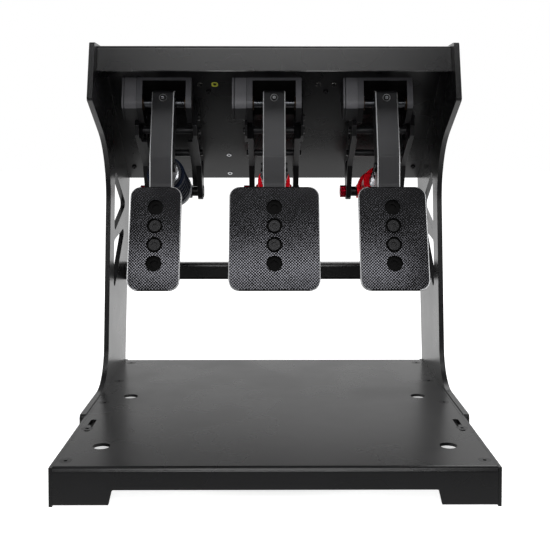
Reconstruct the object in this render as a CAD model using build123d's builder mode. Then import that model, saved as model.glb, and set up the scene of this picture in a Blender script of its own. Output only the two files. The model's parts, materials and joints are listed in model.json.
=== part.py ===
"""Sim racing pedal set: a steel floor frame with three hanging pedals.

Millimetres, +Z up, +Y away from the driver. The origin is on the floor under the middle of the frame.
Frame outlines are drawn from the deck's front edge. Whatever hangs from the mounting plate is drawn
in the plate's own directions: u runs down the slope from the knee, v runs down from the underside.
"""
from build123d import *
from math import atan2, cos, hypot, pi, radians, sin, sqrt, tan
import os

os.makedirs("parts", exist_ok=True)

# Whole frame
frame_width = 400.0
frame_depth = 442.0
frame_height = 436.0
sheet = 3.0
bend_radius = 3.5
edge_gap = 0.5
panel_gap = 0.15
seat_gap = 0.1
running_fit = 0.05
overrun = 20.0

# Foot deck
rear_overhang = 42.0
deck_height = 35.0
flange_clear = 15.0
foot_clear = 1.7
foot_width = 49.0
foot_slope = 3.5
foot_corner = 2.0
mount_hole = 16.5
mount_hole_x = 164.3
mount_hole_front = 56.5
mount_hole_pitch = 166.5
slot_width = 6.0
slot_length = 38.5
slot_middle = 118.0
slot_inset = 8.85
screw_inset = 11.0
screw_front = 18.0
screw_back = 21.0
screw_count = 5
screw_head = 12.0
sink_angle = 90.0
screw_shank = 6.0
screw_length = 9.0
screw_socket = 2.0

# Side rails
rail_thickness = 3.0
shelf_width = 22.0
shelf_thickness = 3.0

# Uprights
upright_thickness = 6.0
foot_height = 36.0
foot_length = 251.0
column_width = 123.0
column_lean = 6.3
rear_lean = 9.9
rear_rise = 42.0
elbow_radius = 88.0
instep_radius = 46.0
corner_radius = 4.0
heel_radius = 0.1
head_lean = 14.0
head_drop = 65.0
head_front = 46.0
head_back = 22.0
chin_slope = 28.6
window_margin = 27.0
window_corner = 6.0
upper_window_shares = (("front", 0.67), ("front", 0.49), ("rear", 0.56))
lower_window_shares = (("rear", 0.495), ("front", 0.467), ("front", 0.315))

# Mounting plate with its header
plate_slope = 40.0
plate_length = 236.5
plate_end_gap = 4.0
header_gap = 2.0
header_flat = 30.0
header_height = 28.5
spare_hole_x = -60.0
spare_hole_lines = (187.0, 226.0)

# Small screws through the plate
small_screw = 4.0
small_screw_head = 7.0
small_screw_head_height = 2.2
small_screw_grip = 6.0

# Rear crossbar
crossbar_height = 22.6
crossbar_middle = 154.0
crossbar_depth = 18.0

# Corner brackets that hold the plate to the uprights
corner_leg = 16.0
corner_thickness = 4.0
corner_length = 24.0
corner_places = (30.0, 212.0)

# Frame bolts
bolt_shank = 8.0
bolt_head = 14.0
bolt_head_height = 4.0
bolt_head_taper = 25.0
nut_width = 13.0
nut_height = 6.5
foot_bolt_height = 16.0
foot_bolt_count = 3
foot_bolt_inset = 26.0

# Control box behind the ports
control_width = 184.0
control_height = 18.0
control_length = 48.0
control_wall = 2.0
control_middle = -8.5
control_start = 42.0
control_screw_offset = 72.0
control_screw_line = 66.5
board_thickness = 1.6
board_rise = 6.0
port_line = 53.7
socket_places = (-90.0, 54.0, 73.0)
socket_outer = 7.0
socket_bore = 3.6
socket_lip = 0.8
data_port_x = -72.3
data_port_width = 8.0
data_port_height = 7.0
data_port_wall = 1.0

# Pedal modules
clutch_reach = 132.5
throttle_reach = 134.0
bracket_width = 66.0
bracket_start = 42.0
bracket_end = 104.0
bracket_chin = 88.0
cheek_thickness = 7.0
web_thickness = 3.5
nose_radius = 11.0
pivot_u = 65.0
pivot_v = 21.0
shaft_diameter = 10.0
shaft_end = 6.0
bush_diameter = 14.0
bush_flange = 17.0
bush_flange_height = 1.5
sensor_width = 18.0
sensor_end = 83.0

# Lattice side frames of a module: a lap outside the cheek, then a plate from inner to outer face
lattice_faces = {"clutch": (31.5, 38.0), "brake": (25.5, 32.5), "throttle": (31.5, 38.0)}
lap_least = 3.0
lap_end = 112.0
lap_gap = 0.6
lattice_start = 87.0
lattice_depth = 44.6
lattice_shoulder = 98.0
lattice_waist_u = 172.0
lattice_waist_v = 32.0
lattice_top_end = 206.0
lattice_rib = 7.0
lattice_corner = 2.4
rear_pin_u = 216.0
rear_pin_v = 39.3
rear_pin_diameter = 10.0
tip_radius = 11.0
lattice_lip = 4.0
lip_inner = 25.5
lip_end = 200.0
lip_end_v = 43.5
spacer_diameter = 9.0
spacer_shares = ((0.21, 0.516), (0.567, 0.538))
window_shares = (
    ((0.286, 0.717), (0.487, 0.168), (0.277, 0.168)),
    ((0.349, 0.762), (0.508, 0.69), (0.508, 0.325)),
    ((0.63, 0.527), (0.79, 0.168), (0.63, 0.168)),
    ((0.689, 0.56), (0.916, 0.65), (0.899, 0.19), (0.857, 0.19)),
)
cheek_bolt_u = 95.5
cheek_bolt_v = 16.0
module_bolt = 5.0
module_bolt_head = 9.0
module_bolt_height = 2.6
module_bolt_taper = 20.0
plate_bolt_u = 80.0
plate_bolt_spacing = 36.0
rear_nut = 16.0
rear_nut_height = 7.2
rear_head_height = 1.2
rear_spacer = 13.0
body_eye_width = 47.4

# Pedal arm, drawn along its own lean: n is rearward, t is up, from the pivot
arm_width = 26.4
arm_lean = 17.5
arm_top = 8.0
arm_front = 19.0
arm_boss = 15.0
jog_start = 73.0
jog_end = 105.0
jog_depth = 9.0
jog_radius = 16.0
arm_corner = 2.0
arm_hollow = 8.0
arm_swell = 12.0
arm_lower_back = 10.0
arm_length = 222.0
arm_waist_t = 42.0
arm_waist = 9.0
pin_n = -2.0
pin_t = -82.0
pin_diameter = 8.0
pin_head = 12.0
pin_head_height = 2.5
pin_lug = 14.0
fork_slot = 10.0
fork_web = 6.5
fork_swing = 3.0
clamp_screw = 7.0
clamp_screw_length = 8.0

# Pads
pad_widths = {"clutch": 59.0, "brake": 103.5, "throttle": 78.0}
pad_shifts = {"clutch": -3.4, "brake": 0.0, "throttle": 1.5}
pad_height = 120.0
pad_thickness = 6.0
pad_corner = 12.0
pad_rim = 1.2
pad_top = 111.0
pad_hole_pitch = 21.8
pad_hole_rise = 3.0
pad_hole_count = 4
pad_bore = 18.0
pad_bore_depth = 4.0
pad_hole = 9.0
pad_screw = 8.0
pad_screw_head = 13.0
pad_screw_head_height = 3.4
pad_screw_socket = 3.3
carrier_thickness = 6.3
carrier_width = 40.0
carrier_height = 96.0

# Spring units between the arm pin and the rear pin
eye_radius = 9.5
eye_clearance = 1.2
rod_neck = 9.0
rod_diameter = 12.0
collar_distance = 26.0
collar_thickness = 5.0
tail_radius = 8.0
body_eye_radius = 9.0
bore_floor = 26.0
body_start = 13.0
flange_thickness = 5.0
clutch_seat_radius = 24.5
clutch_tube_radius = 14.5
clutch_tube_end = 74.0
clutch_collar_radius = 19.5
clutch_spring_radius = 20.5
clutch_spring_wire = 5.5
clutch_spring_turns = 6
brake_flange_radius = 22.5
brake_cup_radius = 20.5
brake_neck_radius = 17.0
brake_neck_end = 22.0
brake_cup_end = 62.0
brake_collar_radius = 17.0
brake_ring_radius = 16.0
brake_ring_count = 4
brake_ring_gap = 0.4
throttle_flange_radius = 24.5
throttle_neck_radius = 16.0
throttle_neck_end = 24.0
throttle_body_radius = 20.0
throttle_body_end = 58.0
throttle_collar_radius = 14.0
throttle_spring_radius = 12.0
throttle_spring_wire = 3.0
throttle_spring_turns = 6
stroke = 26.0

pedal_places = {"clutch": -clutch_reach, "brake": 0.0, "throttle": throttle_reach}
front = -frame_depth / 2
slope = radians(plate_slope)
lean = radians(arm_lean)
deck_depth = frame_depth - rear_overhang
deck_width = frame_width - 2 * rail_thickness - 2 * panel_gap
slot_x = deck_width / 2 - slot_inset
screw_x = frame_width / 2 - screw_inset
inner_half = frame_width / 2
bracket_half = bracket_width / 2

# The plate's knee, where its underside meets the underside of the flat top, from the deck's front edge
knee_y = frame_depth - plate_end_gap - plate_length * cos(slope)
knee_z = frame_height - header_gap - sheet


def save(part, name):
    """Labels a finished piece and writes its file."""
    part.label = name
    export_step(part, f"parts/{name}.step")


def on_plate(u, v):
    """The point u down the slope and v under the plate, as (distance from the front, height)."""
    return (knee_y + u * cos(slope) - v * sin(slope), knee_z - u * sin(slope) - v * cos(slope))


def meet(p, p_angle, q, q_angle):
    """Where the line through p at p_angle crosses the line through q at q_angle, in degrees."""
    a, b = radians(p_angle), radians(q_angle)
    turn = sin(b - a)
    along = ((q[0] - p[0]) * sin(b) - (q[1] - p[1]) * cos(b)) / turn
    return (p[0] + along * cos(a), p[1] + along * sin(a))


def side(x):
    """An upright plane at x, drawn as (distance from the front, height), facing +X."""
    return Plane(origin=(x, front, 0), x_dir=(0, 1, 0), z_dir=(1, 0, 0))


def flat(z):
    """A level plane at z, drawn as (x, distance from the front), facing up."""
    return Plane(origin=(0, front, z), x_dir=(1, 0, 0), z_dir=(0, 0, 1))


def plate_side(x):
    """An upright plane at x, drawn as (u, v), facing -X."""
    return Plane(
        origin=(x, front + knee_y, knee_z),
        x_dir=(0, cos(slope), -sin(slope)),
        z_dir=(-1, 0, 0),
    )


def plate_face(v):
    """A plane parallel to the mounting plate at v, drawn as (x, u), facing away from the pedals."""
    y, z = on_plate(0, v)
    return Plane(origin=(0, front + y, z), x_dir=(1, 0, 0), z_dir=(0, sin(slope), cos(slope)))


pivot = on_plate(pivot_u, pivot_v)
rear_pin = on_plate(rear_pin_u, rear_pin_v)


def arm_point(n, t):
    """The point n behind and t above the pivot along the arm, as (distance from the front, height)."""
    return (pivot[0] + n * cos(lean) + t * sin(lean), pivot[1] - n * sin(lean) + t * cos(lean))


def arm_side(x):
    """An upright plane at x, drawn as (n, t), facing +X."""
    return Plane(
        origin=(x, front + pivot[0], pivot[1]),
        x_dir=(0, cos(lean), -sin(lean)),
        z_dir=(1, 0, 0),
    )


def arm_face(x, n):
    """A plane across the arm at n, drawn as (across, t), facing the driver."""
    y, z = arm_point(n, 0)
    return Plane(origin=(x, front + y, z), x_dir=(1, 0, 0), z_dir=(0, -cos(lean), sin(lean)))


arm_pin = arm_point(pin_n, pin_t)
unit_length = hypot(rear_pin[0] - arm_pin[0], rear_pin[1] - arm_pin[1])
unit_forward = (
    0,
    (arm_pin[0] - rear_pin[0]) / unit_length,
    (arm_pin[1] - rear_pin[1]) / unit_length,
)
collar_front = unit_length - collar_distance
collar_back = collar_front - collar_thickness


def unit_side(x):
    """A plane through a spring unit at x, drawn as (distance forward from the rear pin, height)."""
    return Plane(
        origin=(x, front + rear_pin[0], rear_pin[1]),
        x_dir=unit_forward,
        z_dir=(-1, 0, 0),
    )


def unit_axis(x):
    """The centre line of a spring unit at x, from its rear pin forward."""
    return Axis((x, front + rear_pin[0], rear_pin[1]), unit_forward)


def unit_end(x, along):
    """A plane square to the spring unit at x, that far forward from the rear pin."""
    start = unit_side(x)
    return Plane(origin=start.from_local_coords((along, 0, 0)), x_dir=(1, 0, 0), z_dir=unit_forward)


def column_front(z):
    """How far from the front the front edge of an upright's column is at height z."""
    return deck_depth - column_width + (z - foot_height) * tan(radians(column_lean))


def column_rear(z):
    """How far from the front the rear edge of an upright's column is at height z."""
    return deck_depth + max(0, z - rear_rise) * tan(radians(rear_lean))


def screw_rows():
    """Distances from the front of the deck screws, evenly spaced."""
    step = (deck_depth - screw_front - screw_back) / (screw_count - 1)
    return [screw_front + i * step for i in range(screw_count)]


def foot_bolt_rows():
    """Distances from the front of the bolts through the uprights' feet."""
    first = deck_depth - foot_length + foot_bolt_inset
    step = (foot_length - 2 * foot_bolt_inset) / (foot_bolt_count - 1)
    return [first + i * step for i in range(foot_bolt_count)]


def make_deck():
    """The folded foot deck with its front and rear flanges, feet, holes and slots."""
    mid = deck_height - sheet / 2
    with BuildPart() as base_deck:
        with BuildSketch(side(-deck_width / 2)):
            with BuildLine():
                FilletPolyline(
                    (sheet / 2, foot_clear),
                    (sheet / 2, mid),
                    (deck_depth - sheet / 2, mid),
                    (deck_depth - sheet / 2, flange_clear),
                    radius=bend_radius,
                )
            trace(line_width=sheet)
        extrude(amount=deck_width)
        half = deck_width / 2 - foot_width
        with BuildSketch(Plane.XZ.offset(-front)):
            with BuildLine():
                FilletPolyline(
                    (-half, 0),
                    (foot_slope - half, flange_clear),
                    (half - foot_slope, flange_clear),
                    (half, 0),
                    (half, -overrun),
                    (-half, -overrun),
                    radius=foot_corner,
                    close=True,
                )
            make_face()
        extrude(amount=-sheet * 2, mode=Mode.SUBTRACT)
        with BuildSketch(flat(deck_height)):
            rows = [mount_hole_front, mount_hole_front + mount_hole_pitch]
            with Locations([(x, y) for x in (-mount_hole_x, mount_hole_x) for y in rows]):
                Circle(mount_hole / 2)
            with Locations((-slot_x, slot_middle), (slot_x, slot_middle)):
                SlotOverall(slot_length, slot_width, rotation=90)
        extrude(amount=-sheet, mode=Mode.SUBTRACT)
        with Locations(flat(deck_height)):
            with Locations([(x, y) for x in (-screw_x, screw_x) for y in screw_rows()]):
                CounterSinkHole(
                    screw_shank / 2 + seat_gap,
                    screw_head / 2,
                    depth=sheet,
                    counter_sink_angle=sink_angle,
                )
    return base_deck.part


def make_rail(hand):
    """One side rail: a plate on the floor with a shelf under the deck. hand is -1 left, 1 right."""
    outer = frame_width / 2
    shelf_top = deck_height - sheet
    with BuildPart() as rail:
        with BuildSketch(Plane.XZ.offset(-front)):
            with BuildLine():
                Polyline(
                    (hand * outer, 0),
                    (hand * outer, deck_height),
                    (hand * (outer - rail_thickness), deck_height),
                    (hand * (outer - rail_thickness), shelf_top),
                    (hand * (outer - rail_thickness - shelf_width), shelf_top),
                    (hand * (outer - rail_thickness - shelf_width), shelf_top - shelf_thickness),
                    (hand * (outer - rail_thickness), shelf_top - shelf_thickness),
                    (hand * (outer - rail_thickness), 0),
                    close=True,
                )
            make_face()
        extrude(amount=-deck_depth)
        with BuildSketch(flat(shelf_top)):
            for end in (0, deck_depth):
                with Locations((hand * (outer - rail_thickness - shelf_width / 2), end)):
                    Rectangle(shelf_width, 2 * (sheet + bend_radius))
            with Locations((hand * slot_x, slot_middle)):
                SlotOverall(slot_length, slot_width, rotation=90)
            with Locations([(hand * screw_x, y) for y in screw_rows()]):
                Circle(screw_shank / 2 + seat_gap)
        extrude(amount=-shelf_thickness, mode=Mode.SUBTRACT)
        with BuildSketch(side(hand * outer)):
            with Locations([(y, foot_bolt_height) for y in foot_bolt_rows()]):
                Circle(bolt_shank / 2 + seat_gap)
        extrude(amount=-hand * rail_thickness, mode=Mode.SUBTRACT)
    return rail.part


def window_points(shares):
    """The corners of a triangular cut-out, each a margin inside the named edge of the column."""
    points = []
    for edge, share in shares:
        z = share * frame_height
        if edge == "front":
            points.append((column_front(z) + window_margin, z))
        else:
            points.append((column_rear(z) - window_margin, z))
    return points


def make_upright(hand):
    """One plate upright with its head, column, foot and two triangular cut-outs."""
    head_top = (knee_y - head_front, frame_height)
    chin = (head_top[0] - head_drop * tan(radians(head_lean)), frame_height - head_drop)
    column_foot = (column_front(foot_height), foot_height)
    elbow = meet(chin, -chin_slope, column_foot, 90 - column_lean)
    back = on_plate(0, -head_back)
    rear_low = (frame_depth, rear_rise + (frame_depth - deck_depth) / tan(radians(rear_lean)))
    rear_high = meet((frame_depth, 0), 90, back, -plate_slope)
    top_back = meet((0, frame_height), 0, back, -plate_slope)
    with BuildPart() as upright:
        with BuildSketch(side(hand * inner_half)):
            with BuildLine():
                FilletPolyline(
                    head_top,
                    chin,
                    elbow,
                    column_foot,
                    (deck_depth - foot_length, foot_height),
                    (deck_depth - foot_length, 0),
                    (deck_depth, 0),
                    (deck_depth, rear_rise),
                    rear_low,
                    rear_high,
                    top_back,
                    radius=[
                        corner_radius,
                        corner_radius,
                        elbow_radius,
                        instep_radius,
                        corner_radius,
                        heel_radius,
                        corner_radius,
                        corner_radius,
                        corner_radius,
                        corner_radius,
                        corner_radius,
                    ],
                    close=True,
                )
            make_face()
            for shares in (upper_window_shares, lower_window_shares):
                with BuildLine():
                    FilletPolyline(*window_points(shares), radius=window_corner, close=True)
                make_face(mode=Mode.SUBTRACT)
            with Locations([(y, foot_bolt_height) for y in foot_bolt_rows()]):
                Circle(bolt_shank / 2 + seat_gap, mode=Mode.SUBTRACT)
            with Locations(crossbar_bolt(), *corner_bolts()):
                Circle(bolt_shank / 2 + seat_gap, mode=Mode.SUBTRACT)
        extrude(amount=hand * upright_thickness)
    return upright.part


def crossbar_bolt():
    """Where a bolt goes through an upright into the crossbar's end tab."""
    return (crossbar_front() + crossbar_depth / 2 + sheet / 2, crossbar_middle)


def crossbar_front():
    """How far from the front the crossbar's face is: its back edges stay inside the column."""
    return column_rear(crossbar_middle - crossbar_height / 2) - crossbar_depth - sheet / 2


def corner_bolts():
    """Where bolts go through an upright into the corner brackets."""
    rise = (corner_thickness + corner_leg) / 2
    return [on_plate(u, -sheet - rise) for u in corner_places]


def make_plate():
    """The folded mounting plate: front header, flat top and sloping plate, with its holes."""
    flat_mid = frame_height - header_gap - sheet / 2
    knee = meet((0, flat_mid), 0, on_plate(0, -sheet / 2), -plate_slope)
    top = (knee[0] - header_flat, flat_mid)
    lip = (
        top[0] - header_height * sin(radians(head_lean)),
        top[1] - header_height * cos(radians(head_lean)),
    )
    width = frame_width - 2 * panel_gap
    with BuildPart() as plate:
        with BuildSketch(side(-width / 2)):
            with BuildLine():
                FilletPolyline(lip, top, knee, on_plate(plate_length, -sheet / 2), radius=bend_radius)
            trace(line_width=sheet)
        extrude(amount=width)
        with BuildSketch(plate_face(0)):
            with Locations([(x, port_line) for x in socket_places]):
                Circle(socket_outer / 2 + seat_gap)
            with Locations((data_port_x, port_line)):
                RectangleRounded(
                    data_port_width + 2 * seat_gap,
                    data_port_height + 2 * seat_gap,
                    data_port_height / 2 - seat_gap,
                )
            with Locations(control_screw_places()):
                Circle(small_screw / 2 + seat_gap)
            with Locations(corner_screw_places()):
                Circle(small_screw / 2 + seat_gap)
            with Locations(spare_hole_places()):
                Circle(small_screw / 2)
            with Locations(plate_bolt_places()):
                Circle(module_bolt / 2 + seat_gap)
        extrude(amount=sheet, mode=Mode.SUBTRACT)
    return plate.part


def control_screw_places():
    """The two screws that hold the control box, as (x, u)."""
    return [(control_middle + s * control_screw_offset, control_screw_line) for s in (-1, 1)]


def corner_screw_places():
    """The screws through the plate into the corner brackets, as (x, u)."""
    inset = (corner_thickness + corner_leg) / 2
    return [(s * (inner_half - inset), u) for s in (-1, 1) for u in corner_places]


def spare_hole_places():
    """Open holes between the clutch and the brake, as (x, u)."""
    return [(spare_hole_x, u) for u in spare_hole_lines]


def plate_bolt_places():
    """The bolts through the plate into the brackets' webs, as (x, u)."""
    return [(x + s * plate_bolt_spacing / 2, plate_bolt_u) for x in pedal_places.values() for s in (-1, 1)]


def make_crossbar():
    """The folded channel between the uprights with a tab at each end."""
    face = crossbar_front() + sheet / 2
    top = crossbar_middle + crossbar_height / 2 - sheet / 2
    bottom = crossbar_middle - crossbar_height / 2 + sheet / 2
    with BuildPart() as crossbar:
        with BuildSketch(side(-inner_half)):
            with BuildLine():
                FilletPolyline(
                    (face + crossbar_depth - sheet / 2, top),
                    (face, top),
                    (face, bottom),
                    (face + crossbar_depth - sheet / 2, bottom),
                    radius=bend_radius,
                )
            trace(line_width=sheet)
        extrude(amount=2 * inner_half)
        for hand in (-1, 1):
            with BuildSketch(side(hand * inner_half)):
                with Locations(crossbar_bolt()):
                    Rectangle(crossbar_depth - 2 * sheet, crossbar_height - 2 * sheet)
                    Circle(bolt_shank / 2 + seat_gap, mode=Mode.SUBTRACT)
            extrude(amount=-hand * sheet)
    return crossbar.part


def make_corner_brackets():
    """Four angle brackets on the back of the plate, against the uprights."""
    with BuildPart() as corners:
        for hand in (-1, 1):
            for u in corner_places:
                y, z = on_plate(u - corner_length / 2, -sheet)
                end = Plane(
                    origin=(hand * inner_half, front + y, z),
                    x_dir=(-hand, 0, 0),
                    z_dir=(0, cos(slope), -sin(slope)),
                )
                with BuildSketch(end):
                    with BuildLine():
                        Polyline(
                            (0, 0),
                            (corner_leg, 0),
                            (corner_leg, hand * corner_thickness),
                            (corner_thickness, hand * corner_thickness),
                            (corner_thickness, hand * corner_leg),
                            (0, hand * corner_leg),
                            close=True,
                        )
                    make_face()
                extrude(amount=corner_length)
        with BuildSketch(plate_face(-sheet)):
            with Locations(corner_screw_places()):
                Circle(small_screw / 2 + seat_gap)
        extrude(amount=corner_thickness, mode=Mode.SUBTRACT)
        with BuildSketch(side(-inner_half)):
            with Locations(corner_bolts()):
                Circle(bolt_shank / 2 + seat_gap)
        extrude(amount=2 * inner_half, mode=Mode.SUBTRACT)
    return corners.part


def make_deck_screws():
    """Countersunk screws through the deck into the rails' shelves."""
    with BuildPart() as screws:
        for x in (-screw_x, screw_x):
            for y in screw_rows():
                with BuildSketch(side(x)):
                    with BuildLine():
                        Polyline(
                            (y, deck_height),
                            (y + screw_head / 2 - seat_gap, deck_height),
                            (y + screw_shank / 2, deck_height - (screw_head - screw_shank) / 2 + seat_gap),
                            (y + screw_shank / 2, deck_height - screw_length),
                            (y, deck_height - screw_length),
                            close=True,
                        )
                    make_face()
                revolve(axis=Axis((x, front + y, 0), (0, 0, 1)))
        with BuildSketch(flat(deck_height)):
            with Locations([(x, y) for x in (-screw_x, screw_x) for y in screw_rows()]):
                RegularPolygon(screw_socket, 6)
        extrude(amount=-screw_socket, mode=Mode.SUBTRACT)
    return screws.part


def make_frame_bolts():
    """Button-head bolts through the uprights, with nuts where they end inside."""
    with BuildPart() as bolts:
        for hand in (-1, 1):
            outer = hand * (inner_half + upright_thickness)
            nutted = [(y, foot_bolt_height) for y in foot_bolt_rows()]
            plain = [crossbar_bolt(), *corner_bolts()]
            with BuildSketch(side(outer)):
                with Locations(*nutted, *plain):
                    Circle(bolt_head / 2)
            extrude(amount=hand * bolt_head_height, taper=bolt_head_taper)
            with BuildSketch(side(outer)):
                with Locations(*nutted):
                    Circle(bolt_shank / 2)
            extrude(amount=-hand * (upright_thickness + rail_thickness + nut_height))
            with BuildSketch(side(outer)):
                with Locations(*plain):
                    Circle(bolt_shank / 2)
            extrude(amount=-hand * (upright_thickness + corner_thickness))
            with BuildSketch(side(hand * (inner_half - rail_thickness))):
                with Locations(*nutted):
                    RegularPolygon(nut_width / 2, 6, major_radius=False)
            extrude(amount=-hand * nut_height)
    return bolts.part


def make_control_box():
    """The open box behind the ports."""
    middle = (control_middle, control_start + control_length / 2)
    with BuildPart() as box:
        with BuildSketch(plate_face(-sheet)):
            with Locations(middle):
                RectangleRounded(control_width, control_length, bend_radius)
        extrude(amount=control_height)
        with BuildSketch(plate_face(-sheet)):
            with Locations(middle):
                Rectangle(control_width - 2 * control_wall, control_length - 2 * control_wall)
        extrude(amount=control_height - control_wall, mode=Mode.SUBTRACT)
        with BuildSketch(plate_face(-sheet)):
            with Locations(control_screw_places()):
                Circle(small_screw)
        extrude(amount=control_height)
        with BuildSketch(plate_face(-sheet)):
            with Locations(control_screw_places()):
                Circle(small_screw / 2 + seat_gap)
        extrude(amount=control_height - control_wall, mode=Mode.SUBTRACT)
    return box.part


def make_board():
    """The circuit board inside the control box."""
    middle = (control_middle, control_start + control_length / 2)
    inner_width = control_width - 2 * control_wall - 2 * edge_gap
    inner_length = control_length - 2 * control_wall - 2 * edge_gap
    with BuildPart() as board:
        with BuildSketch(plate_face(-sheet - board_rise)):
            with Locations(middle):
                Rectangle(inner_width, inner_length)
            with Locations(control_screw_places()):
                Circle(small_screw + edge_gap, mode=Mode.SUBTRACT)
        extrude(amount=board_thickness)
    return board.part


def make_sockets():
    """Three round sensor sockets that stand on the board and show through the plate."""
    with BuildPart() as sockets:
        with BuildSketch(plate_face(socket_lip)):
            with Locations([(x, port_line) for x in socket_places]):
                Circle(socket_outer / 2)
        extrude(amount=socket_lip + sheet + board_rise)
        with BuildSketch(plate_face(socket_lip)):
            with Locations([(x, port_line) for x in socket_places]):
                Circle(socket_bore / 2)
        extrude(amount=socket_outer, mode=Mode.SUBTRACT)
    return sockets.part


def make_data_port():
    """The rounded data port with its open mouth."""
    with BuildPart() as port:
        with BuildSketch(plate_face(socket_lip)):
            with Locations((data_port_x, port_line)):
                RectangleRounded(data_port_width, data_port_height, data_port_height / 2 - 2 * seat_gap)
        extrude(amount=socket_lip + sheet + board_rise)
        with BuildSketch(plate_face(socket_lip)):
            with Locations((data_port_x, port_line)):
                RectangleRounded(
                    data_port_width - 2 * data_port_wall,
                    data_port_height - 2 * data_port_wall,
                    data_port_height / 2 - data_port_wall - 2 * seat_gap,
                )
        extrude(amount=sheet + data_port_height, mode=Mode.SUBTRACT)
    return port.part


def nose_profile(end, chin):
    """The side of a bracket or sensor housing: flat on the plate, rounded about the pivot."""
    bottom = pivot_v + nose_radius
    with BuildSketch(mode=Mode.PRIVATE) as profile:
        with BuildLine():
            Polyline((bracket_start, 0), (end, 0), (end, pivot_v), (chin, bottom))
            CenterArc((pivot_u, pivot_v), nose_radius, 0, 360)
        make_hull()
    return profile.sketch


def make_bracket(x):
    """The U-shaped bracket whose two cheeks carry the pivot."""
    with BuildPart() as bracket:
        with BuildSketch(plate_side(x + bracket_half)):
            add(nose_profile(bracket_end, bracket_chin))
        extrude(amount=bracket_width)
        with BuildSketch(plate_side(x + bracket_half - cheek_thickness)):
            with Locations(((bracket_start + bracket_end) / 2, web_thickness + overrun)):
                Rectangle(2 * bracket_end, 2 * overrun)
        extrude(amount=bracket_width - 2 * cheek_thickness, mode=Mode.SUBTRACT)
        with BuildSketch(plate_side(x + bracket_half)):
            with Locations((pivot_u, pivot_v)):
                Circle(bush_diameter / 2 + seat_gap)
            with Locations((cheek_bolt_u, cheek_bolt_v)):
                Circle(module_bolt / 2 + seat_gap)
        extrude(amount=bracket_width, mode=Mode.SUBTRACT)
        with BuildSketch(plate_face(web_thickness)):
            with Locations([(x + s * plate_bolt_spacing / 2, plate_bolt_u) for s in (-1, 1)]):
                Circle(module_bolt / 2 + seat_gap)
        extrude(amount=web_thickness, mode=Mode.SUBTRACT)
    return bracket.part


def make_sensor(x):
    """The sensor housing on the left cheek, bored for the end of the shaft."""
    with BuildPart() as sensor:
        with BuildSketch(plate_side(x - bracket_half)):
            add(nose_profile(sensor_end, sensor_end))
        extrude(amount=sensor_width)
        with BuildSketch(plate_side(x - bracket_half)):
            with Locations((pivot_u, pivot_v)):
                Circle(shaft_diameter / 2 + edge_gap)
        extrude(amount=shaft_end + edge_gap, mode=Mode.SUBTRACT)
    return sensor.part


def lattice_place(along, down):
    """The point of a lattice frame's side at a share of its length and a share of its depth."""
    return (lattice_start + along * (lattice_top_end - lattice_start), down * lattice_depth)


def spacer_places():
    """Where the cross spacers stand on a lattice frame's side."""
    return [lattice_place(*pair) for pair in spacer_shares]


def lattice_outline():
    """The side of a lattice frame, from its shoulder at the bracket to the tip round the rear pin."""
    with BuildSketch(mode=Mode.PRIVATE) as outline:
        with BuildLine():
            Polyline(
                (lattice_start, 0),
                (lattice_start, lattice_depth - lattice_rib),
                (lattice_shoulder, lattice_depth),
                (lattice_waist_u, lattice_waist_v),
                (rear_pin_u, rear_pin_v),
                (lattice_top_end, 0),
                close=True,
            )
        make_face()
        for start_u, start_v, radius in (
            (lattice_waist_u, lattice_waist_v - lattice_rib, lattice_rib),
            (lattice_top_end - lattice_rib, lattice_rib, lattice_rib),
        ):
            with BuildSketch(mode=Mode.PRIVATE) as arm:
                with BuildLine():
                    CenterArc((rear_pin_u, rear_pin_v), tip_radius, 0, 360)
                    CenterArc((start_u, start_v), radius, 0, 360)
                make_hull()
            add(arm.sketch)
        for shares in window_shares:
            corners = [lattice_place(*pair) for pair in shares]
            with BuildLine():
                FilletPolyline(*corners, radius=lattice_corner, close=True)
            make_face(mode=Mode.SUBTRACT)
        with Locations((rear_pin_u, rear_pin_v)):
            Circle(rear_pin_diameter / 2 + seat_gap, mode=Mode.SUBTRACT)
        with Locations((cheek_bolt_u, cheek_bolt_v), *spacer_places()):
            Circle(module_bolt / 2 + seat_gap, mode=Mode.SUBTRACT)
    return outline.sketch


def lattice_part(start, end):
    """The stretch of a lattice frame's side between two distances down the slope."""
    with BuildSketch(mode=Mode.PRIVATE) as stretch:
        add(lattice_outline())
        with Locations(((start + end) / 2, 0)):
            Rectangle(end - start, 2 * rear_pin_u, mode=Mode.INTERSECT)
    return stretch.sketch


def lap_face(outer):
    """How far from a module's middle the outside of a frame's lap lies."""
    return max(outer, bracket_half + lap_least)


def make_lattice(x, hand, faces, lipped):
    """One lattice side frame: lapped on a cheek, then a plate down to the rear pin, maybe with a lip."""
    inner, outer = faces
    lap = lap_face(outer)
    plate_start = bracket_end + lap_gap
    with BuildPart() as lattice:
        with BuildSketch(plate_side(x + hand * bracket_half)):
            add(lattice_part(0, lap_end))
        extrude(amount=-hand * (lap - bracket_half))
        with BuildSketch(plate_side(x + hand * inner)):
            add(lattice_part(plate_start, rear_pin_u + 2 * tip_radius))
        extrude(amount=-hand * (outer - inner))
        with BuildSketch(plate_side(x + hand * inner)):
            add(lattice_part(plate_start, lap_end))
        extrude(amount=-hand * (lap - inner))
        if lipped:
            slant = (lattice_depth - lattice_waist_v) / (lattice_waist_u - lattice_shoulder)
            first = (lap_end, lattice_depth - (lap_end - lattice_shoulder) * slant)
            edge = [first, (lattice_waist_u, lattice_waist_v), (lip_end, lip_end_v)]
            with BuildSketch(plate_side(x + hand * lip_inner)):
                with BuildLine():
                    Polyline(*edge, *[(u, v - lattice_lip) for u, v in reversed(edge)], close=True)
                make_face()
            extrude(amount=-hand * (inner - lip_inner))
    return lattice.part


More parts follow.
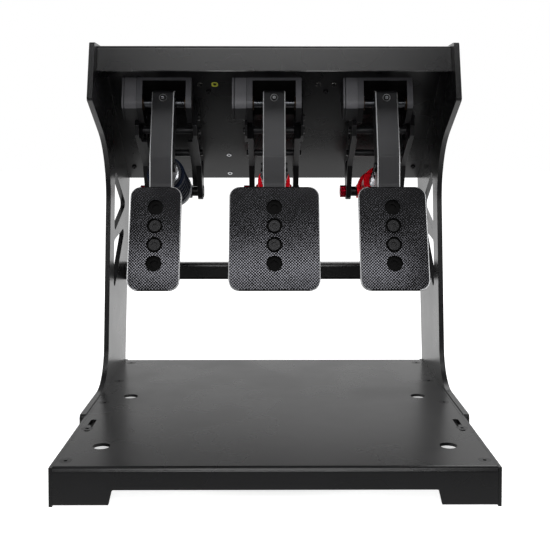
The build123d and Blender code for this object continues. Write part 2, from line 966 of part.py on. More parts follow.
def make_bushes():
    """Flanged bushes in the cheeks of all three brackets."""
    with BuildPart() as bushes:
        for x in pedal_places.values():
            for hand in (-1, 1):
                inner = x + hand * (bracket_half - cheek_thickness)
                with BuildSketch(plate_side(inner)):
                    with Locations((pivot_u, pivot_v)):
                        Circle(bush_diameter / 2)
                        Circle(shaft_diameter / 2 + running_fit, mode=Mode.SUBTRACT)
                extrude(amount=-hand * cheek_thickness)
                with BuildSketch(plate_side(inner)):
                    with Locations((pivot_u, pivot_v)):
                        Circle(bush_flange / 2)
                        Circle(shaft_diameter / 2 + running_fit, mode=Mode.SUBTRACT)
                extrude(amount=hand * bush_flange_height)
    return bushes.part


def make_spacers():
    """Cross spacers between the lattice frames of all three modules, bored at both ends."""
    with BuildPart() as spacers:
        for name, x in pedal_places.items():
            half = lattice_faces[name][0]
            with BuildSketch(plate_side(x + half)):
                with Locations(*spacer_places()):
                    Circle(spacer_diameter / 2)
                    Circle(module_bolt / 2 + seat_gap, mode=Mode.SUBTRACT)
            extrude(amount=2 * half)
    return spacers.part


def make_module_bolts():
    """Bolts of the pedal modules: through the lattice frames and through the plate."""
    lap_spacer, plate_spacer = spacer_places()
    with BuildPart() as bolts:
        for name, x in pedal_places.items():
            inner, outer = lattice_faces[name]
            lap = lap_face(outer)
            seats = (
                (lap, (cheek_bolt_u, cheek_bolt_v), lap - bracket_half + cheek_thickness - edge_gap),
                (lap, lap_spacer, lap - inner + module_bolt),
                (outer, plate_spacer, outer - inner + module_bolt),
            )
            for hand in (-1, 1):
                for face, place, grip in seats:
                    with BuildSketch(plate_side(x + hand * face)):
                        with Locations(place):
                            Circle(module_bolt_head / 2)
                    extrude(amount=-hand * module_bolt_height, taper=module_bolt_taper)
                    with BuildSketch(plate_side(x + hand * face)):
                        with Locations(place):
                            Circle(module_bolt / 2)
                    extrude(amount=hand * grip)
        with BuildSketch(plate_face(-sheet)):
            with Locations(plate_bolt_places()):
                Circle(module_bolt_head / 2)
        extrude(amount=module_bolt_height, taper=module_bolt_taper)
        with BuildSketch(plate_face(-sheet)):
            with Locations(plate_bolt_places()):
                Circle(module_bolt / 2)
        extrude(amount=-sheet - web_thickness)
        with BuildSketch(plate_face(0)):
            with Locations(control_screw_places() + corner_screw_places()):
                Circle(small_screw_head / 2)
        extrude(amount=-small_screw_head_height, taper=module_bolt_taper)
        with BuildSketch(plate_face(0)):
            with Locations(control_screw_places() + corner_screw_places()):
                Circle(small_screw / 2)
        extrude(amount=small_screw_grip)
    return bolts.part


def make_rear_pin(x, faces):
    """The pin through the lattice frames with its low head, round nut and two spacers."""
    inner, outer = faces
    with BuildPart() as pin:
        with BuildSketch(plate_side(x + outer)):
            with Locations((rear_pin_u, rear_pin_v)):
                Circle(rear_pin_diameter / 2)
        extrude(amount=2 * outer + rear_nut_height - edge_gap)
        with BuildSketch(plate_side(x + outer)):
            with Locations((rear_pin_u, rear_pin_v)):
                Circle(rear_nut / 2)
        extrude(amount=-rear_head_height)
        with BuildSketch(plate_side(x - outer)):
            with Locations((rear_pin_u, rear_pin_v)):
                Circle(rear_nut / 2)
                Circle(rear_pin_diameter / 2 + seat_gap, mode=Mode.SUBTRACT)
        extrude(amount=rear_nut_height)
        for hand in (-1, 1):
            with BuildSketch(plate_side(x + hand * inner)):
                with Locations((rear_pin_u, rear_pin_v)):
                    Circle(rear_spacer / 2)
                    Circle(rear_pin_diameter / 2 + seat_gap, mode=Mode.SUBTRACT)
            extrude(amount=hand * (inner - body_eye_width / 2 - seat_gap))
    return pin.part


def make_shaft(x):
    """The pivot shaft, from the sensor housing to the outside of the right cheek."""
    with BuildPart() as shaft:
        with BuildSketch(plate_side(x + bracket_half)):
            with Locations((pivot_u, pivot_v)):
                Circle(shaft_diameter / 2)
        extrude(amount=bracket_width + shaft_end)
    return shaft.part


def make_arm(x, pad_x):
    """The pedal arm: pivot boss, jog, fork for the rod's eye and a straight end bored for the pad."""
    lower_front = jog_depth - arm_front
    boss_low = -sqrt(arm_boss**2 - arm_waist**2)
    with BuildPart() as arm:
        with BuildSketch(arm_side(x - arm_width / 2)):
            with BuildLine():
                FilletPolyline(
                    (-arm_front, arm_top),
                    (-arm_front, -jog_start),
                    (lower_front, -jog_end),
                    (lower_front, -arm_length),
                    (arm_lower_back, -arm_length),
                    (arm_lower_back, -jog_end - arm_lower_back),
                    (pin_n + pin_lug, pin_t - pin_lug),
                    (pin_n + pin_lug, pin_t + pin_lug),
                    (arm_waist, -arm_waist_t),
                    (arm_boss, 0),
                    (0, arm_boss),
                    (arm_boss - arm_front, arm_boss),
                    radius=[
                        corner_radius,
                        jog_radius,
                        jog_radius,
                        corner_radius,
                        corner_radius,
                        arm_hollow,
                        corner_radius,
                        arm_hollow,
                        arm_swell,
                        arm_hollow,
                        arm_corner,
                        arm_corner,
                    ],
                    close=True,
                )
            make_face()
            Circle(shaft_diameter / 2 + seat_gap, mode=Mode.SUBTRACT)
            with Locations((pin_n, pin_t)):
                Circle(pin_diameter / 2 + seat_gap, mode=Mode.SUBTRACT)
        extrude(amount=arm_width)
        slot_front = fork_web - arm_front
        slot_back = pin_n + pin_lug + overrun
        slot_top = pin_t + eye_radius + fork_swing
        slot_bottom = pin_t - eye_radius - fork_swing
        with BuildSketch(arm_side(x - fork_slot / 2)):
            with Locations(((slot_front + slot_back) / 2, (slot_top + slot_bottom) / 2)):
                Rectangle(slot_back - slot_front, slot_top - slot_bottom)
        extrude(amount=fork_slot, mode=Mode.SUBTRACT)
        with BuildSketch(arm_face(x, -arm_front)):
            Circle(clamp_screw / 2 + seat_gap)
        extrude(amount=-clamp_screw_length, mode=Mode.SUBTRACT)
        with BuildSketch(arm_face(pad_x, lower_front)):
            with Locations(*[(0, t) for t in pad_screw_rows()]):
                Circle(pad_screw / 2 + seat_gap)
        extrude(amount=-(arm_lower_back - lower_front - sheet), mode=Mode.SUBTRACT)
    return arm.part


def pad_hole_rows():
    """Heights along the arm of the four holes in a pad, top first."""
    middle = -pad_top - pad_height / 2 + pad_hole_rise
    first = middle + pad_hole_pitch * (pad_hole_count - 1) / 2
    return [first - i * pad_hole_pitch for i in range(pad_hole_count)]


def pad_screw_rows():
    """Heights along the arm of the two screws that hold the pad."""
    return pad_hole_rows()[1:3]


def make_pad(x, width):
    """A pad with rounded corners, a bevelled rim and four counterbored holes."""
    pad_front = jog_depth - arm_front - carrier_thickness - pad_thickness
    with BuildPart() as pad:
        with BuildSketch(arm_face(x, pad_front + pad_thickness)):
            with Locations((0, -pad_top - pad_height / 2)):
                RectangleRounded(width, pad_height, pad_corner)
        extrude(amount=pad_thickness)
        chamfer(pad.faces().filter_by(GeomType.PLANE).sort_by(SortBy.AREA)[-2:].edges(), pad_rim)
        with Locations(arm_face(x, pad_front)):
            with Locations(*[(0, t) for t in pad_hole_rows()]):
                CounterBoreHole(pad_hole / 2, pad_bore / 2, pad_bore_depth)
    return pad.part


def make_carrier(x):
    """The carrier plate between an arm and its pad."""
    with BuildPart() as carrier:
        with BuildSketch(arm_face(x, jog_depth - arm_front)):
            with Locations((0, -pad_top - pad_height / 2)):
                RectangleRounded(carrier_width, carrier_height, corner_radius)
            with Locations(*[(0, t) for t in pad_screw_rows()]):
                Circle(pad_screw / 2 + seat_gap, mode=Mode.SUBTRACT)
        extrude(amount=carrier_thickness)
    return carrier.part


def make_pad_screws(x):
    """Two socket screws from the pad through the carrier into the arm."""
    seat = jog_depth - arm_front - carrier_thickness - pad_thickness + pad_bore_depth
    with BuildPart() as screws:
        with BuildSketch(arm_face(x, seat)):
            with Locations(*[(0, t) for t in pad_screw_rows()]):
                Circle(pad_screw_head / 2)
        extrude(amount=pad_screw_head_height)
        with BuildSketch(arm_face(x, seat - pad_screw_head_height)):
            with Locations(*[(0, t) for t in pad_screw_rows()]):
                RegularPolygon(pad_screw_socket, 6)
        extrude(amount=-pad_screw_head_height / 2, mode=Mode.SUBTRACT)
        with BuildSketch(arm_face(x, seat)):
            with Locations(*[(0, t) for t in pad_screw_rows()]):
                Circle(pad_screw / 2)
        extrude(amount=-carrier_thickness - arm_front + jog_depth)
    return screws.part


def make_arm_pin(x):
    """The pin through the arm's fork with a head at each side, and the clamp screw at the top."""
    half = arm_width / 2
    with BuildPart() as pin:
        with BuildSketch(arm_side(x - half)):
            with Locations((pin_n, pin_t)):
                Circle(pin_diameter / 2)
        extrude(amount=arm_width)
        for hand in (-1, 1):
            with BuildSketch(arm_side(x + hand * half)):
                with Locations((pin_n, pin_t)):
                    Circle(pin_head / 2)
            extrude(amount=hand * pin_head_height)
        with BuildSketch(arm_face(x, -arm_front - pad_rim)):
            Circle(clamp_screw / 2)
        extrude(amount=-clamp_screw_length)
    return pin.part


def make_rod(x, collar_radius, bore_start):
    """The rod: an open eye around the arm's pin, a neck, a collar and a shaft into the body."""
    tail = bore_start + stroke + edge_gap
    with BuildPart() as rod:
        with BuildSketch(unit_side(x)):
            with BuildLine():
                Polyline(
                    (tail, 0),
                    (tail, rod_diameter / 2),
                    (collar_back, rod_diameter / 2),
                    (collar_back, collar_radius),
                    (collar_front, collar_radius),
                    (collar_front, rod_neck / 2),
                    (unit_length - eye_radius / 2, rod_neck / 2),
                    (unit_length - eye_radius / 2, 0),
                    close=True,
                )
            make_face()
        revolve(axis=unit_axis(x))
        with BuildSketch(unit_side(x + fork_slot / 2)):
            with Locations((unit_length, 0)):
                Circle(eye_radius + edge_gap)
        extrude(amount=fork_slot, mode=Mode.SUBTRACT)
        eye_width = fork_slot - 2 * edge_gap
        with BuildSketch(unit_side(x + eye_width / 2)):
            with Locations((unit_length, 0)):
                Circle(eye_radius)
            with Locations((unit_length - eye_radius, 0)):
                Rectangle(eye_radius, rod_neck)
            with Locations((unit_length, 0)):
                Circle(pin_diameter / 2 + eye_clearance, mode=Mode.SUBTRACT)
        extrude(amount=eye_width)
    return rod.part


def make_body(x, profile, bore_start, bore_end):
    """The rear body of a spring unit: an eye on the rear pin, a turned body and a bore for the rod."""
    with BuildPart() as body:
        with BuildSketch(unit_side(x)):
            with BuildLine():
                Polyline(*profile, close=True)
            make_face()
        revolve(axis=unit_axis(x))
        with BuildSketch(unit_side(x + body_eye_width / 2)):
            Circle(body_eye_radius)
        extrude(amount=body_eye_width)
        with BuildSketch(unit_side(x + body_eye_width / 2)):
            Circle(rear_pin_diameter / 2 + running_fit)
        extrude(amount=body_eye_width, mode=Mode.SUBTRACT)
        with BuildSketch(unit_end(x, bore_start)):
            Circle(rod_diameter / 2 + running_fit)
        extrude(amount=bore_end - bore_start + overrun, mode=Mode.SUBTRACT)
    return body.part


def clutch_profile():
    """Half outline of the clutch's body: tail, spring seat and guide tube."""
    return [
        (0, 0),
        (0, tail_radius),
        (body_start, tail_radius),
        (body_start, clutch_seat_radius),
        (body_start + flange_thickness, clutch_seat_radius),
        (body_start + flange_thickness, clutch_tube_radius),
        (clutch_tube_end, clutch_tube_radius),
        (clutch_tube_end, 0),
    ]


def cup_profile(flange_radius, neck_radius, neck_end, radius, end):
    """Half outline of a cup-shaped body with a rear flange and a neck behind the cup."""
    return [
        (0, 0),
        (0, tail_radius),
        (body_start, tail_radius),
        (body_start, flange_radius),
        (body_start + flange_thickness, flange_radius),
        (body_start + flange_thickness, neck_radius),
        (neck_end, neck_radius),
        (neck_end, radius),
        (end, radius),
        (end, 0),
    ]


def make_spring(x, start, end, radius, wire, turns):
    """A coil spring as one unbroken tube on two tangent arcs for each quarter turn."""
    rise = end - start - wire - 2 * seat_gap
    steps = 4 * turns
    place = unit_end(x, start + wire / 2 + seat_gap)
    points = []
    tangents = []
    for i in range(steps + 1):
        angle = 2 * pi * turns * i / steps
        local = Vector(radius * cos(angle), radius * sin(angle), rise * i / steps)
        ahead = Vector(-radius * sin(angle), radius * cos(angle), rise / (2 * pi * turns)).normalized()
        points.append(place.from_local_coords(local))
        tangents.append(place.from_local_coords(local + ahead) - place.from_local_coords(local))
    with BuildPart() as spring:
        with BuildLine() as path:
            for i in range(steps):
                joint, through = biarc_joint(points[i], tangents[i], points[i + 1], tangents[i + 1])
                TangentArc(points[i], joint, tangent=tangents[i])
                TangentArc(joint, points[i + 1], tangent=through)
        with BuildSketch(Plane(origin=points[0], z_dir=tangents[0])):
            Circle(wire / 2)
        sweep(path=path.wires()[0])
    pitch = rise / turns
    gap = pitch * cos(atan2(pitch, 2 * pi * radius)) - wire
    print(f"spring {radius:.0f} mm: least gap to itself {gap:.2f} mm")
    return spring.part


def biarc_joint(p, p_tangent, q, q_tangent):
    """Where two tangent arcs from p to q join, and the direction there."""
    chord = q - p
    both = p_tangent + q_tangent
    turn = 2 * (1 - p_tangent.dot(q_tangent))
    reach = chord.dot(both)
    length = (sqrt(reach * reach + turn * chord.dot(chord)) - reach) / turn
    first = p + p_tangent * length
    second = q - q_tangent * length
    return (first + second) * 0.5, (second - first).normalized()


def make_rings(x, start, end):
    """The stack of elastomer rings on the brake's rod."""
    room = end - start - 2 * seat_gap
    height = (room - (brake_ring_count - 1) * brake_ring_gap) / brake_ring_count
    with BuildPart() as rings:
        for i in range(brake_ring_count):
            base = start + seat_gap + i * (height + brake_ring_gap)
            with BuildSketch(unit_end(x, base)):
                Circle(brake_ring_radius)
                Circle(rod_diameter / 2 + edge_gap, mode=Mode.SUBTRACT)
            extrude(amount=height)
    return rings.part


save(make_deck(), "base_deck")
save(make_rail(-1), "side_rail_left")
save(make_rail(1), "side_rail_right")
save(make_upright(-1), "upright_left")
save(make_upright(1), "upright_right")
save(make_plate(), "mounting_plate")
save(make_crossbar(), "rear_crossbar")
save(make_corner_brackets(), "corner_brackets")
save(make_deck_screws(), "deck_screws")
save(make_frame_bolts(), "frame_bolts")
save(make_control_box(), "control_box")
save(make_board(), "control_board")
save(make_sockets(), "sensor_sockets")
save(make_data_port(), "data_port")
save(make_bushes(), "pivot_bushes")
save(make_spacers(), "cross_spacers")
save(make_module_bolts(), "module_bolts")

for name, x in pedal_places.items():
    save(make_bracket(x), f"{name}_bracket")
    save(make_sensor(x), f"{name}_sensor_housing")
    faces = lattice_faces[name]
    lipped = name == "clutch"
    save(make_lattice(x, -1, faces, lipped), f"{name}_frame_left")
    save(make_lattice(x, 1, faces, lipped), f"{name}_frame_right")
    save(make_rear_pin(x, faces), f"{name}_rear_pin")
    save(make_shaft(x), f"{name}_pivot_shaft")
    pad_x = x + pad_shifts[name]
    save(make_arm(x, pad_x), f"{name}_arm")
    save(make_arm_pin(x), f"{name}_arm_pin")
    save(make_carrier(pad_x), f"{name}_pad_carrier")
    save(make_pad(pad_x, pad_widths[name]), f"{name}_pad")
    save(make_pad_screws(pad_x), f"{name}_pad_screws")

x = pedal_places["clutch"]
save(make_body(x, clutch_profile(), bore_floor, clutch_tube_end), "clutch_spring_body")
save(make_rod(x, clutch_collar_radius, bore_floor), "clutch_rod")
save(
    make_spring(
        x,
        body_start + flange_thickness,
        collar_back,
        clutch_spring_radius,
        clutch_spring_wire,
        clutch_spring_turns,
    ),
    "clutch_spring",
)

x = pedal_places["brake"]
brake_profile = cup_profile(
    brake_flange_radius,
    brake_neck_radius,
    brake_neck_end,
    brake_cup_radius,
    brake_cup_end,
)
save(make_body(x, brake_profile, bore_floor, brake_cup_end), "brake_load_body")
save(make_rod(x, brake_collar_radius, bore_floor), "brake_rod")
save(make_rings(x, brake_cup_end, collar_back), "brake_elastomers")

x = pedal_places["throttle"]
throttle_profile = cup_profile(
    throttle_flange_radius,
    throttle_neck_radius,
    throttle_neck_end,
    throttle_body_radius,
    throttle_body_end,
)
save(make_body(x, throttle_profile, bore_floor, throttle_body_end), "throttle_spring_body")
save(make_rod(x, throttle_collar_radius, bore_floor), "throttle_rod")
save(
    make_spring(
        x,
        throttle_body_end,
        collar_back,
        throttle_spring_radius,
        throttle_spring_wire,
        throttle_spring_turns,
    ),
    "throttle_spring",
)
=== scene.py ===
"""Looks of the sim racing pedal set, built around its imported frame.

Everything is in metres, +Z up, +Y away from the driver, with the origin on the floor under the frame.
"""

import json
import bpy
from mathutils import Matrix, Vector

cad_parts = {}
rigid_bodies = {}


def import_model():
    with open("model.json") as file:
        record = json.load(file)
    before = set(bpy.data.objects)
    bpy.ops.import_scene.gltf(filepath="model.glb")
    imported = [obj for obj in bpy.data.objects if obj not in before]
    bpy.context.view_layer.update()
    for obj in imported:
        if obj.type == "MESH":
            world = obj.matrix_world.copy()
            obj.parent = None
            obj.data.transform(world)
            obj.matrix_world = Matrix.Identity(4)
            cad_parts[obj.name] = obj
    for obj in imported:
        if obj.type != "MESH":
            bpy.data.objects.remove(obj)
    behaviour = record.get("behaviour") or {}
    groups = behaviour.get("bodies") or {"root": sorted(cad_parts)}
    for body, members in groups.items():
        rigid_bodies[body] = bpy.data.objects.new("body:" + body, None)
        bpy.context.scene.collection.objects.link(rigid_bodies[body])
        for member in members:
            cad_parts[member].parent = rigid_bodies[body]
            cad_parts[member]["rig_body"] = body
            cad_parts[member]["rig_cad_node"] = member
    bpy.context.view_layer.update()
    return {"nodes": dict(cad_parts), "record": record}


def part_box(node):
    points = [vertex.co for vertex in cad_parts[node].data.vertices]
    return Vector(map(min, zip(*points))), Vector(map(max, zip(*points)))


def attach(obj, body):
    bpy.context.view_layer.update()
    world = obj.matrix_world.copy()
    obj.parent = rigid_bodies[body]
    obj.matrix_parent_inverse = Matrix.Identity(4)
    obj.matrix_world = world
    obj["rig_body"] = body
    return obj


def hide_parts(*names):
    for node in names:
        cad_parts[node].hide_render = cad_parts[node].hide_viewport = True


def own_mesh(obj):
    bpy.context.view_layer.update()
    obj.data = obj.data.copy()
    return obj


bl_info = {
    "name": "Sim racing pedal set",
    "version": (1, 0, 0),
    "blender": (4, 5, 0),
    "location": "View3D > Sidebar > Pedals",
    "description": "Finishes a sim racing pedal set around its packed frame",
    "category": "Object",
}

from math import cos, pi, radians, sin

import bpy
from bpy.props import FloatProperty, FloatVectorProperty, IntProperty, PointerProperty
from mathutils import Vector

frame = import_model()

mm = 0.001
PEDALS = ("clutch", "brake", "throttle")
ACROSS = Vector((1, 0, 0))
# The mounting plate: its slope, the ways out of its underside and up along it, and where the slope begins.
PLATE_SLOPE = radians(40.0)
PLATE_DOWN = Vector((0, -sin(PLATE_SLOPE), -cos(PLATE_SLOPE)))
PLATE_RISE = Vector((0, -cos(PLATE_SLOPE), sin(PLATE_SLOPE)))
KNEE = Vector((0, 0.03583, 0.431))
# The pads: how far they lean, and the ways out of them and up along them.
ARM_LEAN = radians(17.5)
PAD_OUT = Vector((0, -cos(ARM_LEAN), sin(ARM_LEAN)))
PAD_UP = Vector((0, sin(ARM_LEAN), cos(ARM_LEAN)))
# Material slots of a shape while its faces are painted apart.
SLOTS = 4
# Points of a mesh that are nearer than this, in mm, are one point.
SEAM = 0.004
# Faces that turn by less than this, in degrees, are one flat face.
FLAT = 0.7
# Edges that turn by more than this, in degrees, are corners.
CORNER = 32.0
# The finishes of a pad, by material slot; the bore finish is painted shade.
PAD_FINISHES = ("groove", "cut_edge", "bore", "knurl_top")
# The nodes that are powder coated steel.
COATED = (
    "base_deck",
    "side_rail_left",
    "side_rail_right",
    "upright_left",
    "upright_right",
    "mounting_plate",
    "rear_crossbar",
    "corner_brackets",
)
# The made materials, by a short name.
finishes = {}


def linear(code):
    """Turns an sRGB hex colour into linear red, green, blue and full alpha."""
    shares = [int(code[i:i + 2], 16) / 255 for i in (1, 3, 5)]
    return tuple(s / 12.92 if s <= 0.04045 else ((s + 0.055) / 1.055) ** 2.4 for s in shares) + (1.0,)


def add_node(tree, kind, sockets=None, **settings):
    """Adds a node with its settings, and its sockets as values or as links from other sockets."""
    node = tree.nodes.new(kind)
    for name, value in settings.items():
        setattr(node, name, value)
    for name, value in (sockets or {}).items():
        if isinstance(value, bpy.types.NodeSocket):
            tree.links.new(value, node.inputs[name])
        else:
            node.inputs[name].default_value = value
    return node


def new_material(name):
    """An empty node material and its node tree."""
    material = bpy.data.materials.new(name)
    material.use_nodes = True
    material.node_tree.nodes.clear()
    return material, material.node_tree


def close_material(tree, shader):
    """Joins a shader to the material's output."""
    add_node(tree, "ShaderNodeOutputMaterial", {"Surface": shader})


def combine(tree, operation, first, second):
    """The result of a sum of that kind on two values."""
    return add_node(tree, "ShaderNodeMath", {0: first, 1: second}, operation=operation).outputs["Value"]


def either(tree, first, second):
    """The greater of two light path answers."""
    return combine(tree, "MAXIMUM", first, second)


def graded(tree, value, start, end, low, high):
    """A value carried over from one range to another, and held at its ends."""
    sockets = {"Value": value, "From Min": start, "From Max": end, "To Min": low, "To Max": high}
    return add_node(tree, "ShaderNodeMapRange", sockets).outputs["Result"]


def noise(tree, place, size, detail, rough, dimensions="3D"):
    """Noise over a place, with features of that size in mm."""
    sockets = {"W" if dimensions == "1D" else "Vector": place, "Scale": 1.0 / (size * mm)}
    sockets |= {"Detail": detail, "Roughness": rough}
    return add_node(tree, "ShaderNodeTexNoise", sockets, noise_dimensions=dimensions).outputs["Fac"]


def close_finish(tree, fine, slow, tones, roughness, metallic, bump, spread, gloss=0.5):
    """Ends a finish: colour between two tones, roughness that drifts, and a bump of that height in mm."""
    # Noise keeps to the middle of its range, so the tones and the roughness are spread over that part.
    tint = add_node(tree, "ShaderNodeValToRGB", {"Fac": combine(tree, "MULTIPLY", fine, slow)})
    for stop, position, tone in zip(tint.color_ramp.elements, (0.12, 0.42), tones):
        stop.position = position
        stop.color = linear(tone)
    relief = add_node(tree, "ShaderNodeBump", {"Height": fine, "Strength": 1.0, "Distance": bump * mm})
    surface = add_node(
        tree,
        "ShaderNodeBsdfPrincipled",
        {
            "Base Color": tint.outputs["Color"],
            "Roughness": graded(tree, slow, 0.3, 0.7, roughness - spread, roughness + spread),
            "Metallic": metallic,
            "Specular IOR Level": gloss,
            "Normal": relief.outputs["Normal"],
        },
    )
    close_material(tree, surface.outputs["BSDF"])


def grained(key, name, dark, light, roughness, metallic, grain, bump, patch=40.0, spread=0.04, gloss=0.5):
    """Adds a finish with an even grain of that size in mm and a slow drift of tone over a patch in mm."""
    material, tree = new_material(name)
    place = add_node(tree, "ShaderNodeTexCoord").outputs["Object"]
    fine = noise(tree, place, grain, 3.0, 0.6)
    slow = noise(tree, place, patch, 2.0, 0.5)
    close_finish(tree, fine, slow, (dark, light), roughness, metallic, bump, spread, gloss)
    finishes[key] = material


def lathed(key, name, dark, light, roughness, metallic, line, bump, way):
    """Adds a turned finish: fine rings of that spacing in mm that run round an axis."""
    material, tree = new_material(name)
    place = add_node(tree, "ShaderNodeTexCoord").outputs["Object"]
    along = add_node(tree, "ShaderNodeVectorMath", {0: place, 1: way}, operation="DOT_PRODUCT")
    rings = noise(tree, along.outputs["Value"], line, 4.0, 0.7, "1D")
    slow = noise(tree, place, 12.0, 2.0, 0.5)
    close_finish(tree, rings, slow, (dark, light), roughness, metallic, bump, 0.05)
    finishes[key] = material


def deselect():
    """Leaves nothing selected, in object mode."""
    if bpy.context.mode != "OBJECT":
        close_edit()
    bpy.ops.object.select_all(action="DESELECT")


def take(piece):
    """Selects one piece alone and makes it active."""
    deselect()
    piece.select_set(True)
    bpy.context.view_layer.objects.active = piece


def edit(choice="SELECT"):
    """Opens the active piece's mesh, with everything selected or with nothing."""
    bpy.ops.object.mode_set(mode="EDIT")
    bpy.ops.mesh.select_all(action=choice)


def close_edit():
    """Leaves the mesh and goes back to the piece."""
    bpy.ops.object.mode_set(mode="OBJECT")


def settle():
    """Moves the active piece's place, turn and size into its mesh."""
    bpy.ops.object.transform_apply(location=True, rotation=True, scale=True)


def modify(piece, kind, **settings):
    """Applies one modifier with its settings."""
    take(piece)
    modifier = piece.modifiers.new(kind.lower(), kind)
    for name, value in settings.items():
        setattr(modifier, name, value)
    bpy.ops.object.modifier_apply(modifier=modifier.name)


def add_slots(piece):
    """Gives a shape its empty material slots."""
    for _ in range(SLOTS):
        piece.data.materials.append(None)


def copy_node(node, name):
    """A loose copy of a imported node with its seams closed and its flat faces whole."""
    take(frame["nodes"][node])
    bpy.ops.object.duplicate()
    piece = bpy.context.active_object
    piece.name = name
    piece.parent = None
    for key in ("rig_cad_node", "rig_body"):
        if key in piece:
            del piece[key]
    piece.data.materials.clear()
    add_slots(piece)
    edit()
    bpy.ops.mesh.remove_doubles(threshold=SEAM * mm)
    bpy.ops.mesh.dissolve_limited(angle_limit=radians(FLAT))
    close_edit()
    bpy.ops.mesh.customdata_custom_splitnormals_clear()
    return piece


def bevel_edges(piece, width, segments=2, limit=CORNER, slot=-1, clamp=True):
    """Bevels a piece's sharp edges by a width in mm, with the new faces in a material slot or their own."""
    modify(
        piece,
        "BEVEL",
        width=width * mm,
        segments=segments,
        limit_method="ANGLE",
        angle_limit=radians(limit),
        material=slot,
        use_clamp_overlap=clamp,
        miter_outer="MITER_ARC",
    )


def finish_piece(piece, materials, body, *nodes, limit=CORNER, weighted=True):
    """Shades a piece, gives it its materials, and lets it ride on a body and stand for nodes."""
    take(piece)
    settle()
    slots = [polygon.material_index for polygon in piece.data.polygons]
    piece.data.materials.clear()
    for material in materials:
        piece.data.materials.append(finishes[material])
    for polygon, slot in zip(piece.data.polygons, slots):
        polygon.material_index = min(slot, len(materials) - 1)
    bpy.ops.object.shade_smooth_by_angle(angle=radians(limit))
    if weighted:
        modify(piece, "WEIGHTED_NORMAL", keep_sharp=True, weight=100)
    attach(piece, body)
    if nodes:
        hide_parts(*nodes)
    return piece


def rounded(node, ending, body, width, finish):
    """A copy of a node with edges rounded by a width in mm, which stands in the node's place."""
    piece = copy_node(node, f"{node}_{ending}")
    bevel_edges(piece, width)
    return finish_piece(piece, [finish], body, node)


def turned(name, profile, sides=48):
    """A closed turned shape on the Z axis, from the (height, radius) points of its profile in mm."""
    deselect()
    height, radius = profile[0]
    bpy.ops.mesh.primitive_circle_add(
        vertices=sides, radius=radius * mm, fill_type="NGON", location=(0, 0, height * mm)
    )
    piece = bpy.context.active_object
    piece.name = name
    bpy.ops.object.mode_set(mode="EDIT")
    for next_height, next_radius in profile[1:]:
        rise = (next_height - height) * mm
        bpy.ops.mesh.extrude_region_move(TRANSFORM_OT_translate={"value": (0, 0, rise)})
        share = next_radius / radius
        bpy.ops.transform.resize(value=(share, share, 1))
        height, radius = next_height, next_radius
    bpy.ops.mesh.select_all(action="SELECT")
    bpy.ops.mesh.normals_make_consistent(inside=False)
    close_edit()
    settle()
    return piece


def lay(piece, start, way):
    """Stands a piece made upright at the origin on a point, pointing a way, with its place in its mesh."""
    take(piece)
    piece.rotation_euler = way.to_track_quat("Z", "Y").to_euler()
    piece.location = start
    settle()
    return piece


def join_pieces(pieces, name):
    """Joins pieces into the first one."""
    deselect()
    for piece in pieces:
        piece.select_set(True)
    bpy.context.view_layer.objects.active = pieces[0]
    if len(pieces) > 1:
        bpy.ops.object.join()
    pieces[0].name = name
    return pieces[0]


def cut(piece, tool, operation="DIFFERENCE"):
    """Cuts a piece with a tool, or keeps what both share, and clears the tool away."""
    modify(piece, "BOOLEAN", operation=operation, solver="EXACT", object=tool)
    bpy.data.objects.remove(tool)
    return piece


def paint(piece, slot, test):
    """Puts the faces that pass a test of centre and normal in a material slot."""
    for polygon in piece.data.polygons:
        if test(polygon.center, polygon.normal):
            polygon.material_index = slot


def faces_driver(centre, normal):
    """Whether a face looks towards the driver."""
    return normal.y < -0.8


def reach(piece, way, start=Vector()):
    """The least and greatest distance of a piece's points along a direction, from the origin or a start."""
    spans = [(vertex.co - start).dot(way) for vertex in piece.data.vertices]
    return min(spans), max(spans)


def joint_of(name):
    """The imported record's joint of that name."""
    for joint in frame["record"]["behaviour"]["joints"]:
        if joint["name"] == name:
            return joint
    raise ValueError(f"no joint {name}")


def unit_line(pedal):
    """A spring unit's rear pivot, and the way it points to the pedal."""
    start = Vector(joint_of(f"{pedal}_unit_hinge")["pos_m"])
    return start, -Vector(joint_of(f"{pedal}_plunge")["axis"])


def split_solids(piece):
    """A piece's separate solids as pieces of their own, from left to right."""
    take(piece)
    edit()
    bpy.ops.mesh.separate(type="LOOSE")
    close_edit()
    solids = list(bpy.context.selected_objects)
    solids.sort(key=lambda solid: tuple(sum(corner[i] for corner in solid.bound_box) for i in range(3)))
    return solids


def end_cap(points, way):
    """The middle of the points that lie furthest along a way, and how far the widest is from it."""
    top = max(point.dot(way) for point in points)
    cap = [point for point in points if point.dot(way) > top - 0.05 * mm]
    middle = sum(cap, Vector()) / len(cap)
    return middle, max((point - middle).length for point in cap)


def socket_heads(node, name, key, deep, ways, rim):
    """A copy of a node of screws with a six-sided socket cut in each head, which is its widest end."""
    screws = split_solids(copy_node(node, name))
    for screw in screws:
        ends = []
        for way in ways:
            middle, radius = end_cap([vertex.co for vertex in screw.data.vertices], way)
            ends.append((radius, len(ends), middle, way))
        radius, _, middle, way = max(ends)
        low, high = reach(screw, way)
        # A nut is too short to be a screw, so it gets rounded edges and no socket.
        if high - low < 3 * deep * mm:
            bevel_edges(screw, rim)
            continue
        tool = turned("key", [(-deep, key / 2), (deep, key / 2)], 6)
        cut(screw, lay(tool, middle, way))
        bevel_edges(screw, rim, limit=40.0)
    return finish_piece(join_pieces(screws, name), ["black_oxide"], "frame", node)


def number(name, description, default):
    """A setting that holds a number."""
    return FloatProperty(name=name, description=description, default=default)


class FrameSettings(bpy.types.PropertyGroup):
    """Sizes of the floor frame's finish."""

    edge: number("Edge", "Radius of the laser-cut edges in mm", 0.5)
    bolt_key: number("Bolt key", "Key size of the frame bolts in mm", 5.0)


